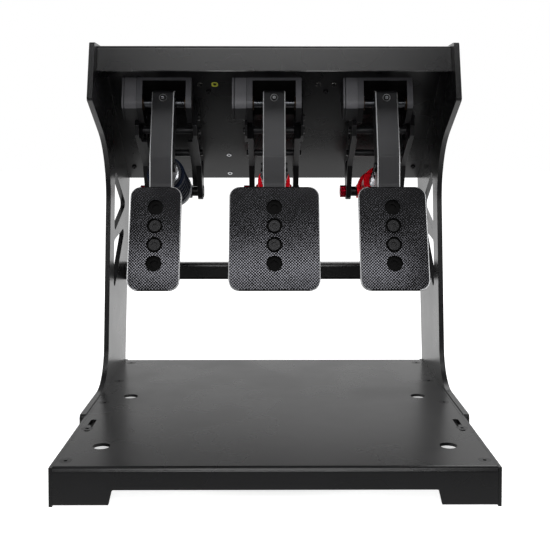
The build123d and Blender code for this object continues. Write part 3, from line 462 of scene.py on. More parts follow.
class ModuleSettings(bpy.types.PropertyGroup):
    """Sizes of the pedal modules' finish."""

    chamfer: number("Chamfer", "Width of the machined edges in mm", 1.0)
    knurl_pitch: number("Knurl pitch", "Spacing of the pads' points in mm", 2.35)
    knurl_depth: number("Knurl depth", "Height of the pads' points in mm", 0.4)
    screw_key: number("Screw key", "Key size of the module screws in mm", 3.0)


class StageSettings(bpy.types.PropertyGroup):
    """Light and camera."""

    camera_place: FloatVectorProperty(
        name="Camera",
        description="Where the camera stands",
        subtype="TRANSLATION",
        default=(-0.00405, -0.9601, 0.30967),
    )
    camera_pitch: number("Pitch", "How far the camera looks down, in degrees", 1.93)
    camera_turn: number("Turn", "How far the camera looks left, in degrees", -0.284)
    focus_px: number("Focal length", "In pixels of the photograph", 849.1)
    rise: number("Rise", "Shift of the picture, as a share of its height", -0.165)
    picture_px: IntProperty(name="Picture", description="Width and height of the picture", default=550)
    sky: number("Sky", "Strength of the surrounding light", 0.28)
    ceiling: number("Ceiling", "Brightness that gloss shows overhead", 0.3)
    dusk: number("Dusk", "Brightness that gloss shows on the driver's side", 0.08)
    key: number("Key", "Power of the high front lamp in watts", 14.0)
    strip: number("Strip", "Power of the narrow front lamp in watts", 2.0)
    low: number("Low", "Power of the low front lamp in watts", 4.0)
    side: number("Side", "Power of each side lamp in watts", 8.0)
    back: number("Back", "Power of the rear lamp in watts", 10.0)


class PEDALS_OT_stage(bpy.types.Operator):
    """Makes the floor, the surrounding light, the lamps and the camera"""

    bl_idname = "pedals.stage"
    bl_label = "Stage"

    def execute(self, context):
        stage = context.scene.pedal_stage
        self.make_floor(stage)
        self.make_world(context, stage)
        self.make_lamps(stage)
        self.make_camera(context, stage)
        context.scene.view_settings.view_transform = "Standard"
        return {"FINISHED"}

    def make_floor(self, stage):
        """A pale painted floor that runs out to white, with the object's shadow on it."""
        deselect()
        bpy.ops.mesh.primitive_plane_add(size=30.0)
        floor = bpy.context.active_object
        floor.name = "studio_floor"
        material, tree = new_material("painted_studio_floor")
        path = add_node(tree, "ShaderNodeLightPath")
        place = add_node(tree, "ShaderNodeTexCoord").outputs["Object"]
        depth = add_node(tree, "ShaderNodeSeparateXYZ", {"Vector": place}).outputs["Y"]
        # The glow fades out towards the middle of the object, so that its shadow shows there.
        middle = add_node(tree, "ShaderNodeVectorMath", {0: place, 1: (0, 0.05, 0)}, operation="DISTANCE")
        spread = add_node(tree, "ShaderNodeValToRGB", {"Fac": middle.outputs["Value"]})
        stops = spread.color_ramp.elements
        stops[0].position, stops[1].position = 0.14, 0.9
        stops.new(0.25)
        for stop, brightness in zip(stops, (0.04, 0.88, 1.0)):
            stop.color = (brightness, brightness, brightness, 1.0)
        seen = either(tree, path.outputs["Is Camera Ray"], path.outputs["Is Transmission Ray"])
        shown = combine(tree, "MULTIPLY", seen, spread.outputs["Color"])
        # Gloss sees a floor that is dim in front of the object and bright behind it.
        glossy = path.outputs["Is Glossy Ray"]
        gloss = graded(tree, depth, -0.5, 0.3, stage.dusk, 0.8)
        glow = either(tree, shown, combine(tree, "MULTIPLY", glossy, gloss))
        tone = graded(tree, combine(tree, "SUBTRACT", glossy, gloss), 0.0, 0.8, 0.88, 0.04)
        coat = add_node(tree, "ShaderNodeBsdfDiffuse", {"Color": tone})
        white = add_node(tree, "ShaderNodeEmission", {"Color": linear("#ffffff"), "Strength": glow})
        parts = {0: coat.outputs["BSDF"], 1: white.outputs["Emission"]}
        total = add_node(tree, "ShaderNodeAddShader", parts)
        close_material(tree, total.outputs["Shader"])
        floor.data.materials.append(material)

    def make_world(self, context, stage):
        """White to the camera, white behind and dim in front in reflections, and softer as light."""
        world = bpy.data.worlds.new("studio_white")
        context.scene.world = world
        world.use_nodes = True
        tree = world.node_tree
        tree.nodes.clear()
        path = add_node(tree, "ShaderNodeLightPath")
        place = add_node(tree, "ShaderNodeTexCoord").outputs["Generated"]
        way = add_node(tree, "ShaderNodeSeparateXYZ", {"Vector": place})
        gloss = graded(tree, way.outputs["Y"], -0.35, 0.35, stage.dusk, 1.0)
        height = graded(tree, way.outputs["Z"], 0.23, 0.34, 1.0, stage.ceiling)
        fading = combine(tree, "MULTIPLY", gloss, height)
        mirrored = combine(tree, "MULTIPLY", path.outputs["Is Glossy Ray"], fading)
        seen = either(tree, path.outputs["Is Camera Ray"], path.outputs["Is Transmission Ray"])
        lit = combine(tree, "MULTIPLY", path.outputs["Is Diffuse Ray"], stage.sky)
        strength = either(tree, either(tree, seen, mirrored), lit)
        light = add_node(tree, "ShaderNodeBackground", {"Color": linear("#ffffff"), "Strength": strength})
        add_node(tree, "ShaderNodeOutputWorld", {"Surface": light.outputs["Background"]})

    def make_lamps(self, stage):
        """A wide lamp, a strip and a low lamp in front, one at each side and one high behind."""
        aim = Vector((0, 0, 0.28))
        lamps = (
            ("front_lamp", (0.0, -1.3, 1.95), (1.0, 1.0), stage.key),
            ("strip_lamp", (-0.02, -1.7, 1.06), (0.96, 0.09), stage.strip),
            ("low_lamp", (0.0, -1.6, 0.6), (0.7, 0.3), stage.low),
            ("left_lamp", (-1.45, -1.0, 0.55), (0.35, 0.9), stage.side),
            ("right_lamp", (1.45, -1.0, 0.55), (0.35, 0.9), stage.side),
            ("rear_lamp", (0.5, 1.5, 1.7), (1.2, 1.2), stage.back),
        )
        for name, place, size, power in lamps:
            bpy.ops.object.light_add(type="AREA", location=place)
            lamp = bpy.context.active_object
            lamp.name = name
            lamp.data.shape = "RECTANGLE"
            lamp.data.size, lamp.data.size_y = size
            lamp.data.energy = power
            lamp.rotation_euler = (aim - Vector(place)).to_track_quat("-Z", "Y").to_euler()

    def make_camera(self, context, stage):
        """The photograph's camera: eye height and distance from the frame's known edges."""
        bpy.ops.object.camera_add(location=stage.camera_place)
        camera = context.active_object
        camera.name = "camera"
        pitch = radians(stage.camera_pitch)
        camera.rotation_euler = (pi / 2 - pitch, 0, radians(stage.camera_turn))
        camera.data.sensor_width = 36.0
        camera.data.lens = stage.focus_px * camera.data.sensor_width / stage.picture_px
        camera.data.shift_y = stage.rise
        context.scene.camera = camera


def make_finishes():
    """The materials, each from the real one."""
    unit_way = unit_line("brake")[1]
    # Satin black powder coat on steel sheet: a soft even sheen with a faint orange peel.
    grained(
        "powder_coat", "satin_powder_coated_steel", "#0c0c0d", "#111113",
        0.28, 0.0, 0.9, 0.02, patch=60.0, spread=0.03,
    )
    # Black anodised aluminium, bead blasted: dark metal with a fine grain and a soft metallic sheen.
    grained("black_anodised", "black_anodised_aluminium", "#252527", "#313133", 0.4, 0.5, 0.45, 0.012)
    # The brackets' fronts: dark grey rather than black, painted light for the light that falls on them from
    # low in front.
    grained(
        "painted_light_anodised", "anodised_aluminium_painted_light", "#454548", "#555559",
        0.42, 0.1, 0.45, 0.012, gloss=0.35,
    )
    # Side frames, cut from anodised plate: their faces are a shade darker than the arms.
    grained(
        "side_plate", "black_anodised_side_plate", "#141415", "#1c1c1e",
        0.38, 0.2, 0.45, 0.012, gloss=0.35,
    )
    # Painted shade: a duller, blacker anodised colour for the insides of the pads' bores, the brackets and
    # the pad carriers, where shade falls.
    grained("bore", "black_anodised_painted_shade", "#050505", "#080808", 0.6, 0.0, 0.5, 0.01, gloss=0.08)
    # Bare aluminium where a cutter has taken the anodised layer off the edges: a bright, narrow line.
    grained("cut_edge", "machined_aluminium_edge", "#dedfe1", "#f2f3f4", 0.42, 0.7, 0.3, 0.004)
    # The same edge rubbed dull on the side frames.
    grained("rubbed_edge", "rubbed_anodised_edge", "#6b6c70", "#87888c", 0.38, 1.0, 0.3, 0.004)
    # Red anodised aluminium, turned: saturated metal with a crisp highlight.
    lathed(
        "red_anodised", "red_anodised_turned_aluminium", "#980812", "#c0101c",
        0.32, 1.0, 0.35, 0.006, unit_way,
    )
    # The same red on the knurled nuts, turned across: deeper, painted shade for the shade between the
    # knurl's points.
    lathed("red_nut", "red_anodised_nut_painted_shade", "#80081a", "#a80e24", 0.3, 1.0, 0.5, 0.006, ACROSS)
    # Turned aluminium and steel along the spring units: bright with fine rings.
    lathed("turned_metal", "turned_bright_metal", "#b4b6ba", "#dcdde0", 0.24, 1.0, 0.3, 0.006, unit_way)
    # Ground steel shafts across the modules: grey, because they mirror the dark bracket.
    lathed("ground_shaft", "ground_steel_shaft", "#4c4e51", "#606266", 0.3, 1.0, 0.3, 0.004, ACROSS)
    # Blackened steel of the rods, turned: dark with fine rings.
    lathed("dark_turned", "blackened_turned_steel", "#27282b", "#38393c", 0.3, 0.9, 0.3, 0.006, unit_way)
    # Bright zinc on spring wire: clean metal with a fine drawn grain.
    grained("bright_wire", "zinc_plated_spring_wire", "#b9bbc0", "#dadce0", 0.25, 1.0, 0.3, 0.004)
    # Zinc-plated screw heads: pale and a little uneven.
    grained("zinc", "zinc_plated_screw", "#bfc0c3", "#dfe0e2", 0.28, 1.0, 0.4, 0.006)
    # Black oxide on screws and pins: nearly black with a slight oily sheen.
    grained("black_oxide", "black_oxide_steel", "#121213", "#1b1b1d", 0.36, 0.5, 0.3, 0.006)
    # Dark blue enamel baked on spring wire: nearly black, even, with little shine.
    grained(
        "blue_enamel", "blue_enamelled_spring_steel", "#080d1a", "#0f192c",
        0.36, 0.0, 0.6, 0.006, gloss=0.06,
    )
    # Glass-filled nylon at the front of the housings: grey-black with a slight grain, painted light for the
    # light that falls on these faces from low in front.
    grained("painted_light_nylon", "black_nylon_painted_light", "#4c4c4f", "#605f63", 0.46, 0.0, 0.7, 0.02)
    # The same nylon as it leaves the mould: black and even.
    grained("black_nylon", "moulded_black_nylon", "#141415", "#1c1c1f", 0.46, 0.0, 0.7, 0.02)
    # Grooves of the pads' knurl, cut before the parts were anodised: nearly black.
    grained("groove", "black_anodised_groove", "#0b0b0c", "#121213", 0.4, 0.3, 0.4, 0.004)
    # The knurl's flat tops, burnished by shoe soles: dark metal that mirrors the lamps.
    grained(
        "knurl_top", "burnished_anodised_aluminium", "#55555a", "#6c6c71",
        0.15, 0.85, 0.6, 0.002, spread=0.02,
    )
    # Cast polyurethane: matt, dark grey and slightly waxy.
    grained("polyurethane", "cast_grey_polyurethane", "#3c3d40", "#4c4d50", 0.45, 0.0, 1.2, 0.015)
    # Natural grey acetal of the clutch spring's seat: pale, even, faintly greasy.
    grained("acetal", "pale_grey_acetal", "#8f9196", "#a5a7ab", 0.4, 0.0, 0.8, 0.008)
    # Oiled sintered bronze: dark brown metal with open pores.
    grained("bronze", "oiled_sintered_bronze", "#2b2016", "#43321f", 0.45, 0.9, 0.3, 0.01)
    # Glass epoxy board under green solder mask.
    grained("board", "green_glass_epoxy_board", "#0e3a22", "#165233", 0.35, 0.0, 1.0, 0.006)
    # Yellow-green moulded ABS round the data port.
    grained("port_ring", "yellow_green_moulded_abs", "#a3a63a", "#c2c64c", 0.35, 0.0, 0.8, 0.006)
    # Nickel-plated contact shells: bright and smooth.
    grained("nickel", "nickel_plated_shell", "#c4c3be", "#e2e1dc", 0.2, 1.0, 0.4, 0.003)


node_finishes = dict.fromkeys(COATED, "powder_coat") | {
    "deck_screws": "black_oxide",
    "frame_bolts": "black_oxide",
    "control_box": "black_nylon",
    "control_board": "board",
    "sensor_sockets": "black_nylon",
    "data_port": "port_ring",
    "pivot_bushes": "bronze",
    "cross_spacers": "black_anodised",
    "module_bolts": "black_oxide",
    "clutch_spring_body": "black_anodised",
    "brake_load_body": "red_anodised",
    "throttle_spring_body": "red_anodised",
    "clutch_spring": "blue_enamel",
    "brake_elastomers": "polyurethane",
    "throttle_spring": "bright_wire",
}
module_finishes = {
    "bracket": "black_anodised",
    # The housing node takes the lighter nylon, painted light.
    "sensor_housing": "painted_light_nylon",
    "frame_left": "black_anodised",
    "frame_right": "black_anodised",
    "rear_pin": "black_oxide",
    "pivot_shaft": "ground_shaft",
    "arm": "black_anodised",
    "arm_pin": "black_oxide",
    # The pad carriers take the bore finish: painted shade, since they are seen only down the pads' bores.
    "pad_carrier": "bore",
    "pad": "black_anodised",
    "pad_screws": "black_oxide",
    "rod": "dark_turned",
}


class PEDALS_OT_finishes(bpy.types.Operator):
    """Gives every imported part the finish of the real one"""

    bl_idname = "pedals.finishes"
    bl_label = "Finishes"

    def execute(self, context):
        make_finishes()
        for pedal in PEDALS:
            for part, finish in module_finishes.items():
                node_finishes[f"{pedal}_{part}"] = finish
        for node, part in frame["nodes"].items():
            part.data.materials.clear()
            part.data.materials.append(finishes[node_finishes[node]])
        return {"FINISHED"}


class PEDALS_OT_floor_frame(bpy.types.Operator):
    """Rounds the cut edges of the deck, rails, uprights, plate and crossbar"""

    bl_idname = "pedals.floor_frame"
    bl_label = "Floor frame"

    def execute(self, context):
        for node in COATED:
            rounded(node, "coated", "frame", context.scene.pedal_frame.edge, "powder_coat")
        return {"FINISHED"}


class PEDALS_OT_fasteners(bpy.types.Operator):
    """Cuts the key sockets of the bolts and screws"""

    bl_idname = "pedals.fasteners"
    bl_label = "Bolts and screws"

    def execute(self, context):
        bolt_key = context.scene.pedal_frame.bolt_key
        screw_key = context.scene.pedal_modules.screw_key
        ways = (ACROSS, -ACROSS, PLATE_DOWN, -PLATE_DOWN)
        socket_heads("frame_bolts", "frame_bolt_set", bolt_key, 2.2, ways[:2], 0.4)
        socket_heads("module_bolts", "module_screw_set", screw_key, 1.4, ways, 0.25)
        return {"FINISHED"}


class PEDALS_OT_electronics(bpy.types.Operator):
    """Makes the sensor housings, the ports and the control box"""

    bl_idname = "pedals.electronics"
    bl_label = "Sensors and ports"

    def execute(self, context):
        for pedal in PEDALS:
            self.make_housing(pedal)
        self.make_control_box()
        self.make_socket_shells()
        self.make_port_insert()
        self.make_rivet_nuts()
        return {"FINISHED"}

    def make_housing(self, pedal):
        """A moulded housing with its lid, a seam between them, three lid screws and painted light on its
        front.
        """
        node = f"{pedal}_sensor_housing"
        low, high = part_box(node)
        lid, seam = 3.0 * mm, 0.3 * mm
        halves = []
        for side in (1, -1):
            half = copy_node(node, f"{node}_half")
            edit()
            bpy.ops.mesh.bisect(
                plane_co=(low[0] + lid + side * seam / 2, 0, 0),
                plane_no=(1, 0, 0),
                use_fill=True,
                clear_inner=side > 0,
                clear_outer=side < 0,
            )
            close_edit()
            bevel_edges(half, 0.7, 3)
            halves.append(half)
        housing = join_pieces(halves, f"{node}_moulded")
        # The faces towards the driver take the lighter nylon: painted light.
        paint(housing, 1, faces_driver)
        finish_piece(housing, ["black_nylon", "painted_light_nylon"], "frame", node)
        middle = (Vector(low) + Vector(high)) / 2
        screws = []
        for rise, run in ((0.3, -0.3), (0.3, 0.3), (-0.3, 0.05)):
            place = Vector((low[0], middle.y, middle.z))
            place += PLATE_RISE * run * (high[2] - low[2]) - PLATE_DOWN * rise * (high[1] - low[1])
            screw = turned("lid_screw", [(-2.0, 1.9), (0.5, 1.9), (0.9, 1.5), (0.9, 0.9), (0.1, 0.8)], 24)
            screws.append(lay(screw, place, -ACROSS))
        finish_piece(join_pieces(screws, f"{pedal}_sensor_lid_screws"), ["black_oxide"], "frame")

    def make_control_box(self):
        """The control box with a row of vent slots and rounded edges."""
        box = copy_node("control_box", "control_box_moulded")
        high = reach(box, -PLATE_DOWN)[1]
        left, right = reach(box, ACROSS)
        bottom, top = reach(box, PLATE_RISE)
        slots = []
        count, pitch = 9, 9.0 * mm
        for i in range(count):
            deselect()
            x = (left + right) / 2 + (i - count // 2) * pitch
            place = ACROSS * x + PLATE_RISE * (bottom + top) / 2 - PLATE_DOWN * high
            bpy.ops.mesh.primitive_cube_add(size=1.0)
            slot = bpy.context.active_object
            slot.scale = (2.4 * mm, 26.0 * mm, 2.0 * mm)
            slots.append(lay(slot, place, -PLATE_DOWN))
        cut(box, join_pieces(slots, "vents"))
        bevel_edges(box, 1.0, 3, 50.0)
        finish_piece(box, ["black_nylon"], "frame", "control_box")

    def make_socket_shells(self):
        """A bright shell round a dark core in each sensor socket."""
        sockets = frame["nodes"]["sensor_sockets"]
        face = reach(sockets, PLATE_DOWN)[1]
        rise = sum(reach(sockets, PLATE_RISE)) / 2
        shells = []
        cores = []
        for x in (-90.0, 54.0, 73.0):
            place = ACROSS * x * mm + PLATE_DOWN * face + PLATE_RISE * rise
            shell = turned("shell", [(-3.0, 3.5), (0.3, 3.5), (0.5, 3.3), (0.5, 2.7), (-2.6, 2.6)], 40)
            shells.append(lay(shell, place, PLATE_DOWN))
            core = turned("core", [(-2.9, 2.5), (-1.2, 2.5), (-1.2, 1.1), (-2.4, 1.0)], 32)
            cores.append(lay(core, place, PLATE_DOWN))
        finish_piece(join_pieces(shells, "sensor_socket_shells"), ["nickel"], "frame")
        finish_piece(join_pieces(cores, "sensor_socket_cores"), ["black_nylon"], "frame")

    def make_rivet_nuts(self):
        """Bright rivet nuts in the plate's two spare holes, at their runs down the slope."""
        aside = 60.0
        barrel = [(-4.0, 2.1), (0.0, 2.1)]
        rim = [(0.0, 3.2), (0.5, 3.1), (0.7, 2.8), (0.7, 1.6), (-3.5, 1.5)]
        nuts = []
        for run in (187.0, 226.0):
            place = KNEE - PLATE_RISE * run * mm - ACROSS * aside * mm
            nuts.append(lay(turned("nut", barrel + rim, 32), place, PLATE_DOWN))
        finish_piece(join_pieces(nuts, "plate_rivet_nuts"), ["zinc"], "frame")

    def make_port_insert(self):
        """The dark insert of the data port with its contact tongue."""
        low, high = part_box("data_port")
        port = frame["nodes"]["data_port"]
        face = reach(port, PLATE_DOWN)[1]
        rise = sum(reach(port, PLATE_RISE)) / 2
        thickness = 3.0 * mm
        place = ACROSS * (low[0] + high[0]) / 2 + PLATE_DOWN * (face - thickness) + PLATE_RISE * rise
        deselect()
        bpy.ops.mesh.primitive_cube_add(size=1.0)
        insert = bpy.context.active_object
        insert.scale = (6.0 * mm, 5.0 * mm, thickness)
        settle()
        edit("DESELECT")
        close_edit()
        for polygon in insert.data.polygons:
            polygon.select = polygon.normal.z > 0.9
        bpy.ops.object.mode_set(mode="EDIT")
        bpy.ops.mesh.select_mode(type="FACE")
        bpy.ops.mesh.inset(thickness=0.8 * mm, depth=-2.0 * mm)
        bpy.ops.mesh.inset(thickness=0.9 * mm, depth=0.0)
        bpy.ops.mesh.extrude_region_move(TRANSFORM_OT_translate={"value": (0, 0, 1.4 * mm)})
        close_edit()
        insert.name = "data_port_insert"
        finish_piece(lay(insert, place, PLATE_DOWN), ["black_nylon"], "frame")


class PEDALS_OT_modules(bpy.types.Operator):
    """Finishes the brackets, side frames, shafts and rear pins"""

    bl_idname = "pedals.modules"
    bl_label = "Pedal modules"

    def execute(self, context):
        for pedal in PEDALS:
            self.make_bracket(pedal)
            for part in ("frame_left", "frame_right"):
                node = f"{pedal}_{part}"
                plate = copy_node(node, f"{node}_machined")
                bevel_edges(plate, 0.4, 1, slot=1)
                finish_piece(plate, ["side_plate", "rubbed_edge"], "frame", node)
            node = f"{pedal}_pivot_shaft"
            rounded(node, "ground", f"{pedal}_pedal", 0.6, "ground_shaft")
            self.make_rear_pin(pedal)
        rounded("cross_spacers", "turned", "frame", 0.4, "black_anodised")
        return {"FINISHED"}

    def make_bracket(self, pedal):
        """The bracket, with painted shade, dull and black, between its cheeks, and painted light on its
        front.
        """
        node = f"{pedal}_bracket"
        bracket = copy_node(node, f"{node}_machined")
        left, right = reach(bracket, ACROSS)
        middle = (left + right) / 2
        cheek = 6.5 * mm
        # Painted shade: the faces between the cheeks take the dull black bore finish.
        paint(bracket, 1, lambda centre, normal: abs(centre.x - middle) < (right - left) / 2 - cheek)
        # Painted light: the faces towards the driver take the lighter front finish.
        paint(bracket, 2, faces_driver)
        bevel_edges(bracket, 0.6)
        finish_piece(bracket, ["side_plate", "bore", "painted_light_anodised"], "frame", node)

    def make_rear_pin(self, pedal):
        """The rear pin with its spacers, and a knurled nut on its left end."""
        node = f"{pedal}_rear_pin"
        low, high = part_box(node)
        middle = (Vector(low) + Vector(high)) / 2
        face = Vector((low[0], middle.y, middle.z))
        solids = split_solids(copy_node(node, f"{node}_turned"))
        plain_nut = min(solids, key=lambda solid: reach(solid, ACROSS)[1])
        solids.remove(plain_nut)
        bpy.data.objects.remove(plain_nut)
        pin = join_pieces(solids, f"{node}_turned")
        bevel_edges(pin, 0.4)
        finish_piece(pin, ["black_oxide"], "frame", node)
        radius = (high[2] - low[2]) / 2 / mm
        sides = 60
        nut = turned("nut", [(-7.2, radius + 0.1), (0.2, radius + 0.1), (0.2, 5.3), (-0.8, 5.2)], sides)
        take(nut)
        edit("DESELECT")
        close_edit()
        # Every second point of the rim moves in, which leaves the knurl's ridges.
        for vertex in nut.data.vertices:
            wide = Vector((vertex.co.x, vertex.co.y)).length > radius * mm
            turn = Vector((1, 0)).angle_signed(vertex.co.xy, 0) / (2 * pi / sides)
            vertex.select = wide and round(turn) % 2 == 0
        bpy.ops.object.mode_set(mode="EDIT")
        bpy.ops.mesh.select_mode(type="VERT")
        bpy.ops.transform.resize(value=(0.94, 0.94, 1))
        close_edit()
        bevel_edges(nut, 0.2, 1, 20.0)
        lay(nut, face, -ACROSS)
        # The nut's deeper red is painted shade.
        finish_piece(nut, ["red_nut"], "frame", limit=15.0)
        nut.name = f"{pedal}_rear_nut"


class PEDALS_OT_arms(bpy.types.Operator):
    """Finishes the pedal arms, their pins and clamp screws, and the pad carriers"""

    bl_idname = "pedals.arms"
    bl_label = "Arms"

    def execute(self, context):
        chamfer = context.scene.pedal_modules.chamfer
        for pedal in PEDALS:
            body = f"{pedal}_pedal"
            node = f"{pedal}_arm"
            arm = copy_node(node, f"{node}_machined")
            bevel_edges(arm, chamfer, 1, slot=1, clamp=False)
            finish_piece(arm, ["black_anodised", "cut_edge"], body, node)
            # The carrier's dull black bore finish is painted shade.
            rounded(f"{pedal}_pad_carrier", "machined", body, 0.5, "bore")
            self.make_pin(pedal)
        return {"FINISHED"}

    def make_pin(self, pedal):
        """The arm's black pin, and the bright clamp screw above it with its key socket."""
        node = f"{pedal}_arm_pin"
        pin = copy_node(node, f"{node}_turned")
        low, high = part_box(node)
        split = (low[2] + high[2]) / 2
        middle, _ = end_cap([v.co for v in pin.data.vertices if v.co.z > split], PAD_OUT)
        bevel_edges(pin, 0.3)
        finish_piece(pin, ["black_oxide"], f"{pedal}_pedal", node)
        head = turned("head", [(-1.5, 2.1), (0.4, 2.1), (0.9, 1.7), (0.9, 1.1), (0.1, 0.9)], 36)
        finish_piece(lay(head, middle, PAD_OUT), ["zinc"], f"{pedal}_pedal")
        head.name = f"{pedal}_clamp_screw"


class PEDALS_OT_pads(bpy.types.Operator):
    """Makes the knurled pads with their bright rims"""

    bl_idname = "pedals.pads"
    bl_label = "Pads"

    def execute(self, context):
        settings = context.scene.pedal_modules
        for pedal in PEDALS:
            node = f"{pedal}_pad"
            pad = copy_node(node, f"{node}_knurled")
            face = reach(pad, PAD_OUT)[1]
            low, high = reach(pad, PAD_UP)
            left, right = reach(pad, ACROSS)
            middle = ACROSS * (left + right) / 2 + PAD_UP * (low + high) / 2 + PAD_OUT * face

            def on_rim(centre, normal):
                return 0.4 < normal.dot(PAD_OUT) < 0.95

            def in_bore(centre, normal):
                inside = abs(centre.x - middle.x) < 10.0 * mm
                return inside and (centre - middle).dot(PAD_OUT) < -0.5 * mm and normal.dot(PAD_OUT) > -0.5

            paint(pad, PAD_FINISHES.index("cut_edge"), on_rim)
            # Painted shade: the faces inside the bores take the dull black bore finish.
            paint(pad, PAD_FINISHES.index("bore"), in_bore)
            cut(pad, self.make_knurl(settings, middle, right - left, high - low), "INTERSECT")
            finish_piece(pad, PAD_FINISHES, f"{pedal}_pedal", node, limit=20.0, weighted=False)
            for polygon in pad.data.polygons:
                if polygon.normal.dot(PAD_OUT) > 0.75:
                    polygon.use_smooth = False
        return {"FINISHED"}

    def make_knurl(self, settings, middle, width, height):
        """A slab whose front is cut into small flat-topped points, in rows on the slant."""
        pitch = settings.knurl_pitch * mm
        depth = settings.knurl_depth * mm
        thickness = 9.0 * mm
        groove = 0.22 * pitch
        side = (width + height) / 2 ** 0.5
        count = int(side / pitch) + 1
        deselect()
        bpy.ops.mesh.primitive_grid_add(x_subdivisions=count, y_subdivisions=count, size=count * pitch)
        slab = bpy.context.active_object
        add_slots(slab)
        bpy.ops.object.mode_set(mode="EDIT")
        bpy.ops.mesh.select_mode(type="FACE")
        bpy.ops.mesh.select_all(action="SELECT")
        bpy.ops.mesh.inset(use_individual=True, thickness=groove, depth=depth)
        close_edit()
        for polygon in slab.data.polygons:
            if polygon.select:
                polygon.material_index = PAD_FINISHES.index("knurl_top")
        edit()
        bpy.ops.mesh.extrude_region_move(TRANSFORM_OT_translate={"value": (0, 0, -thickness)})
        close_edit()
        slab.rotation_euler = (0, 0, pi / 4)
        settle()
        lay(slab, middle - PAD_OUT * (depth + 0.02 * mm), PAD_OUT)
        edit()
        bpy.ops.mesh.remove_doubles(threshold=SEAM * mm)
        bpy.ops.mesh.normals_make_consistent(inside=False)
        close_edit()
        return slab


def coil(name, radius, wire, height, turns):
    """A coil spring on the Z axis with closed ends: one touching turn at each end and open turns between."""
    facets = 28
    lift = wire / 2
    open_rise = height - wire - 2 * wire
    parts = []
    for count, rise in ((1, wire), (turns - 2, open_rise), (1, wire)):
        deselect()
        bpy.ops.mesh.primitive_circle_add(vertices=14, radius=wire / 2 * mm, rotation=(pi / 2, 0, 0))
        part = bpy.context.active_object
        settle()
        edit()
        bpy.ops.transform.translate(value=(radius * mm, 0, lift * mm))
        close_edit()
        modify(
            part,
            "SCREW",
            axis="Z",
            angle=2 * pi * count,
            screw_offset=rise * mm,
            iterations=1,
            steps=facets * count,
            render_steps=facets * count,
        )
        lift += rise
        parts.append(part)
    spring = join_pieces(parts, name)
    edit()
    bpy.ops.mesh.remove_doubles(threshold=0.01 * mm)
    bpy.ops.mesh.fill_holes(sides=0)
    bpy.ops.mesh.normals_make_consistent(inside=False)
    close_edit()
    return spring


def shorten(piece):
    """Gives a soft piece a mesh of its own."""
    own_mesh(piece)


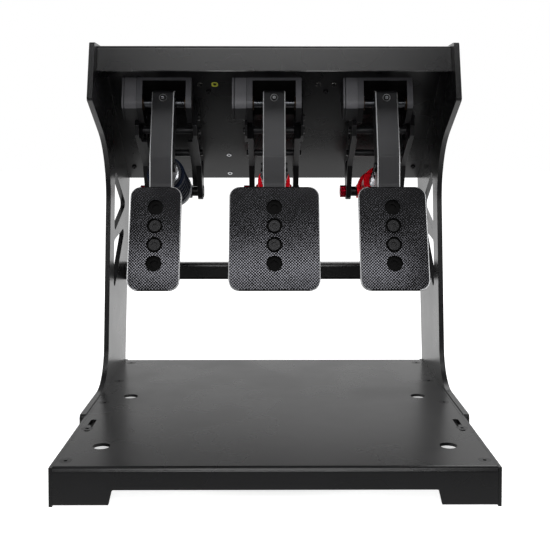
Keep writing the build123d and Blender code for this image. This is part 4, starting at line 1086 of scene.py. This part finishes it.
class PEDALS_OT_units(bpy.types.Operator):
    """Makes the spring units: springs, rings, cups, rods and sleeves"""

    bl_idname = "pedals.units"
    bl_label = "Spring units"

    def execute(self, context):
        self.make_clutch()
        self.make_brake()
        self.make_throttle()
        return {"FINISHED"}

    def make_rod(self, pedal, end, radius):
        """A rod with rounded edges, and a threaded sleeve in front of the collar at its spring's end."""
        start, way = unit_line(pedal)
        body = f"{pedal}_plunger"
        rounded(f"{pedal}_rod", "turned", body, 0.5, "dark_turned")
        collar, length, pitch = 5.1, 6.0, 1.5
        profile = [(0.0, radius - 1.0)]
        for i in range(int(length / pitch)):
            foot = pitch * i
            profile += [(foot + 0.3, radius - 0.6), (foot + 0.75, radius), (foot + 1.2, radius - 0.6)]
        profile += [(length, radius - 1.0)]
        thread = turned(f"{pedal}_threaded_sleeve", profile)
        place = start + way * (end + collar * mm)
        finish_piece(lay(thread, place, way), ["turned_metal"], body, limit=20.0)

    def make_spring(self, pedal, radius, wire, turns, finish):
        """A coil spring in place of the plain solid. Says where it ends."""
        start, way = unit_line(pedal)
        node = f"{pedal}_spring"
        near, far = reach(frame["nodes"][node], way, start)
        spring = coil(f"{node}_wound", radius, wire, (far - near) / mm, turns)
        lay(spring, start + way * near, way)
        finish_piece(spring, [finish], f"{pedal}_unit", node, limit=60.0)
        shorten(spring)
        return far

    def make_clutch(self):
        """The clutch's unit: a blue spring between a pale seat and a threaded sleeve."""
        start, way = unit_line("clutch")
        node = "clutch_spring_body"
        body = copy_node(node, f"{node}_turned")

        def on_seat(centre, normal):
            far = (centre - start).dot(way)
            return 12.0 * mm < far < 18.5 * mm

        paint(body, 1, on_seat)
        bevel_edges(body, 0.8, 3)
        finish_piece(body, ["black_anodised", "acetal"], "clutch_unit", node)
        end = self.make_spring("clutch", 20.5, 5.5, 7, "blue_enamel")
        self.make_rod("clutch", end, 17.0)

    def make_brake(self):
        """The brake's unit: grey rings and bright washers between a red cup and a threaded sleeve."""
        start, way = unit_line("brake")
        self.make_cup("brake", 22.0)
        node = "brake_elastomers"
        near, far = reach(frame["nodes"][node], way, start)
        count, bore, gap, thick = 4, 7.0, 0.8, 1.5
        step = (far - near) / mm / count
        rings = []
        washers = []
        for i in range(count):
            profile = [(gap, bore), (gap, 12.6), (step * 0.25, 13.6), (step * 0.5, 13.9)]
            profile += [(step * 0.75, 13.6), (step - gap, 12.6), (step - gap, bore)]
            rings.append(lay(turned("ring", profile), start + way * (near + i * step * mm), way))
        for i in range(count + 1):
            place = min(max(i * step - thick / 2, 0.0), (far - near) / mm - thick)
            washer = turned("washer", [(0.0, bore), (0.0, 15.2), (thick, 15.2), (thick, bore)])
            washers.append(lay(washer, start + way * (near + place * mm), way))
        rings = join_pieces(rings, "brake_rings_cast")
        bevel_edges(rings, 0.4, 2, 25.0)
        finish_piece(rings, ["polyurethane"], "brake_unit", node, limit=60.0)
        shorten(rings)
        washers = join_pieces(washers, "brake_ring_washers")
        finish_piece(washers, ["turned_metal"], "brake_unit")
        shorten(washers)
        self.make_rod("brake", far, 14.0)

    def make_throttle(self):
        """The throttle's unit: a red cup with a bright spring in front."""
        self.make_cup("throttle", 24.0)
        end = self.make_spring("throttle", 12.0, 3.0, 8, "bright_wire")
        self.make_rod("throttle", end, 12.0)

    def make_cup(self, pedal, neck_end):
        """A red cup with a bright neck, six spanner holes round it and rounded edges."""
        start, way = unit_line(pedal)
        node = f"{pedal}_{'load' if pedal == 'brake' else 'spring'}_body"
        cup = copy_node(node, f"{node}_turned")

        def on_neck(centre, normal):
            far = (centre - start).dot(way)
            return 18.2 * mm < far < (neck_end - 0.2) * mm and abs(normal.dot(way)) < 0.3

        paint(cup, 1, on_neck)
        holes = []
        for i in range(6):
            turn = pi / 6 + i * pi / 3
            out = ACROSS * cos(turn) + way.cross(ACROSS) * sin(turn)
            hole = turned("hole", [(16.0, 1.7), (26.0, 1.7)], 20)
            holes.append(lay(hole, start + way * (neck_end + 14.0) * mm, out))
        cut(cup, join_pieces(holes, "holes"))
        bevel_edges(cup, 0.6)
        finish_piece(cup, ["red_anodised", "turned_metal"], f"{pedal}_unit", node)


class PEDALS_PT_panel(bpy.types.Panel):
    """Lists the steps that build the pedal set"""

    bl_label = "Pedal set"
    bl_idname = "PEDALS_PT_panel"
    bl_space_type = "VIEW_3D"
    bl_region_type = "UI"
    bl_category = "Pedals"

    def draw(self, context):
        for step in steps:
            self.layout.operator(step.bl_idname)


steps = (
    PEDALS_OT_stage,
    PEDALS_OT_finishes,
    PEDALS_OT_floor_frame,
    PEDALS_OT_fasteners,
    PEDALS_OT_electronics,
    PEDALS_OT_modules,
    PEDALS_OT_arms,
    PEDALS_OT_pads,
    PEDALS_OT_units,
)
groups = {
    "pedal_frame": FrameSettings,
    "pedal_modules": ModuleSettings,
    "pedal_stage": StageSettings,
}


def register():
    """Registers the settings, the steps and the panel."""
    for name, group in groups.items():
        bpy.utils.register_class(group)
        setattr(bpy.types.Scene, name, PointerProperty(type=group))
    for step in steps:
        bpy.utils.register_class(step)
    bpy.utils.register_class(PEDALS_PT_panel)


def unregister():
    """Takes them out again."""
    bpy.utils.unregister_class(PEDALS_PT_panel)
    for step in reversed(steps):
        bpy.utils.unregister_class(step)
    for name, group in groups.items():
        delattr(bpy.types.Scene, name)
        bpy.utils.unregister_class(group)


def main():
    """Builds the whole pedal set."""
    register()
    for step in steps:
        module, name = step.bl_idname.split(".")
        getattr(getattr(bpy.ops, module), name)()


if __name__ == "__main__":
    main()
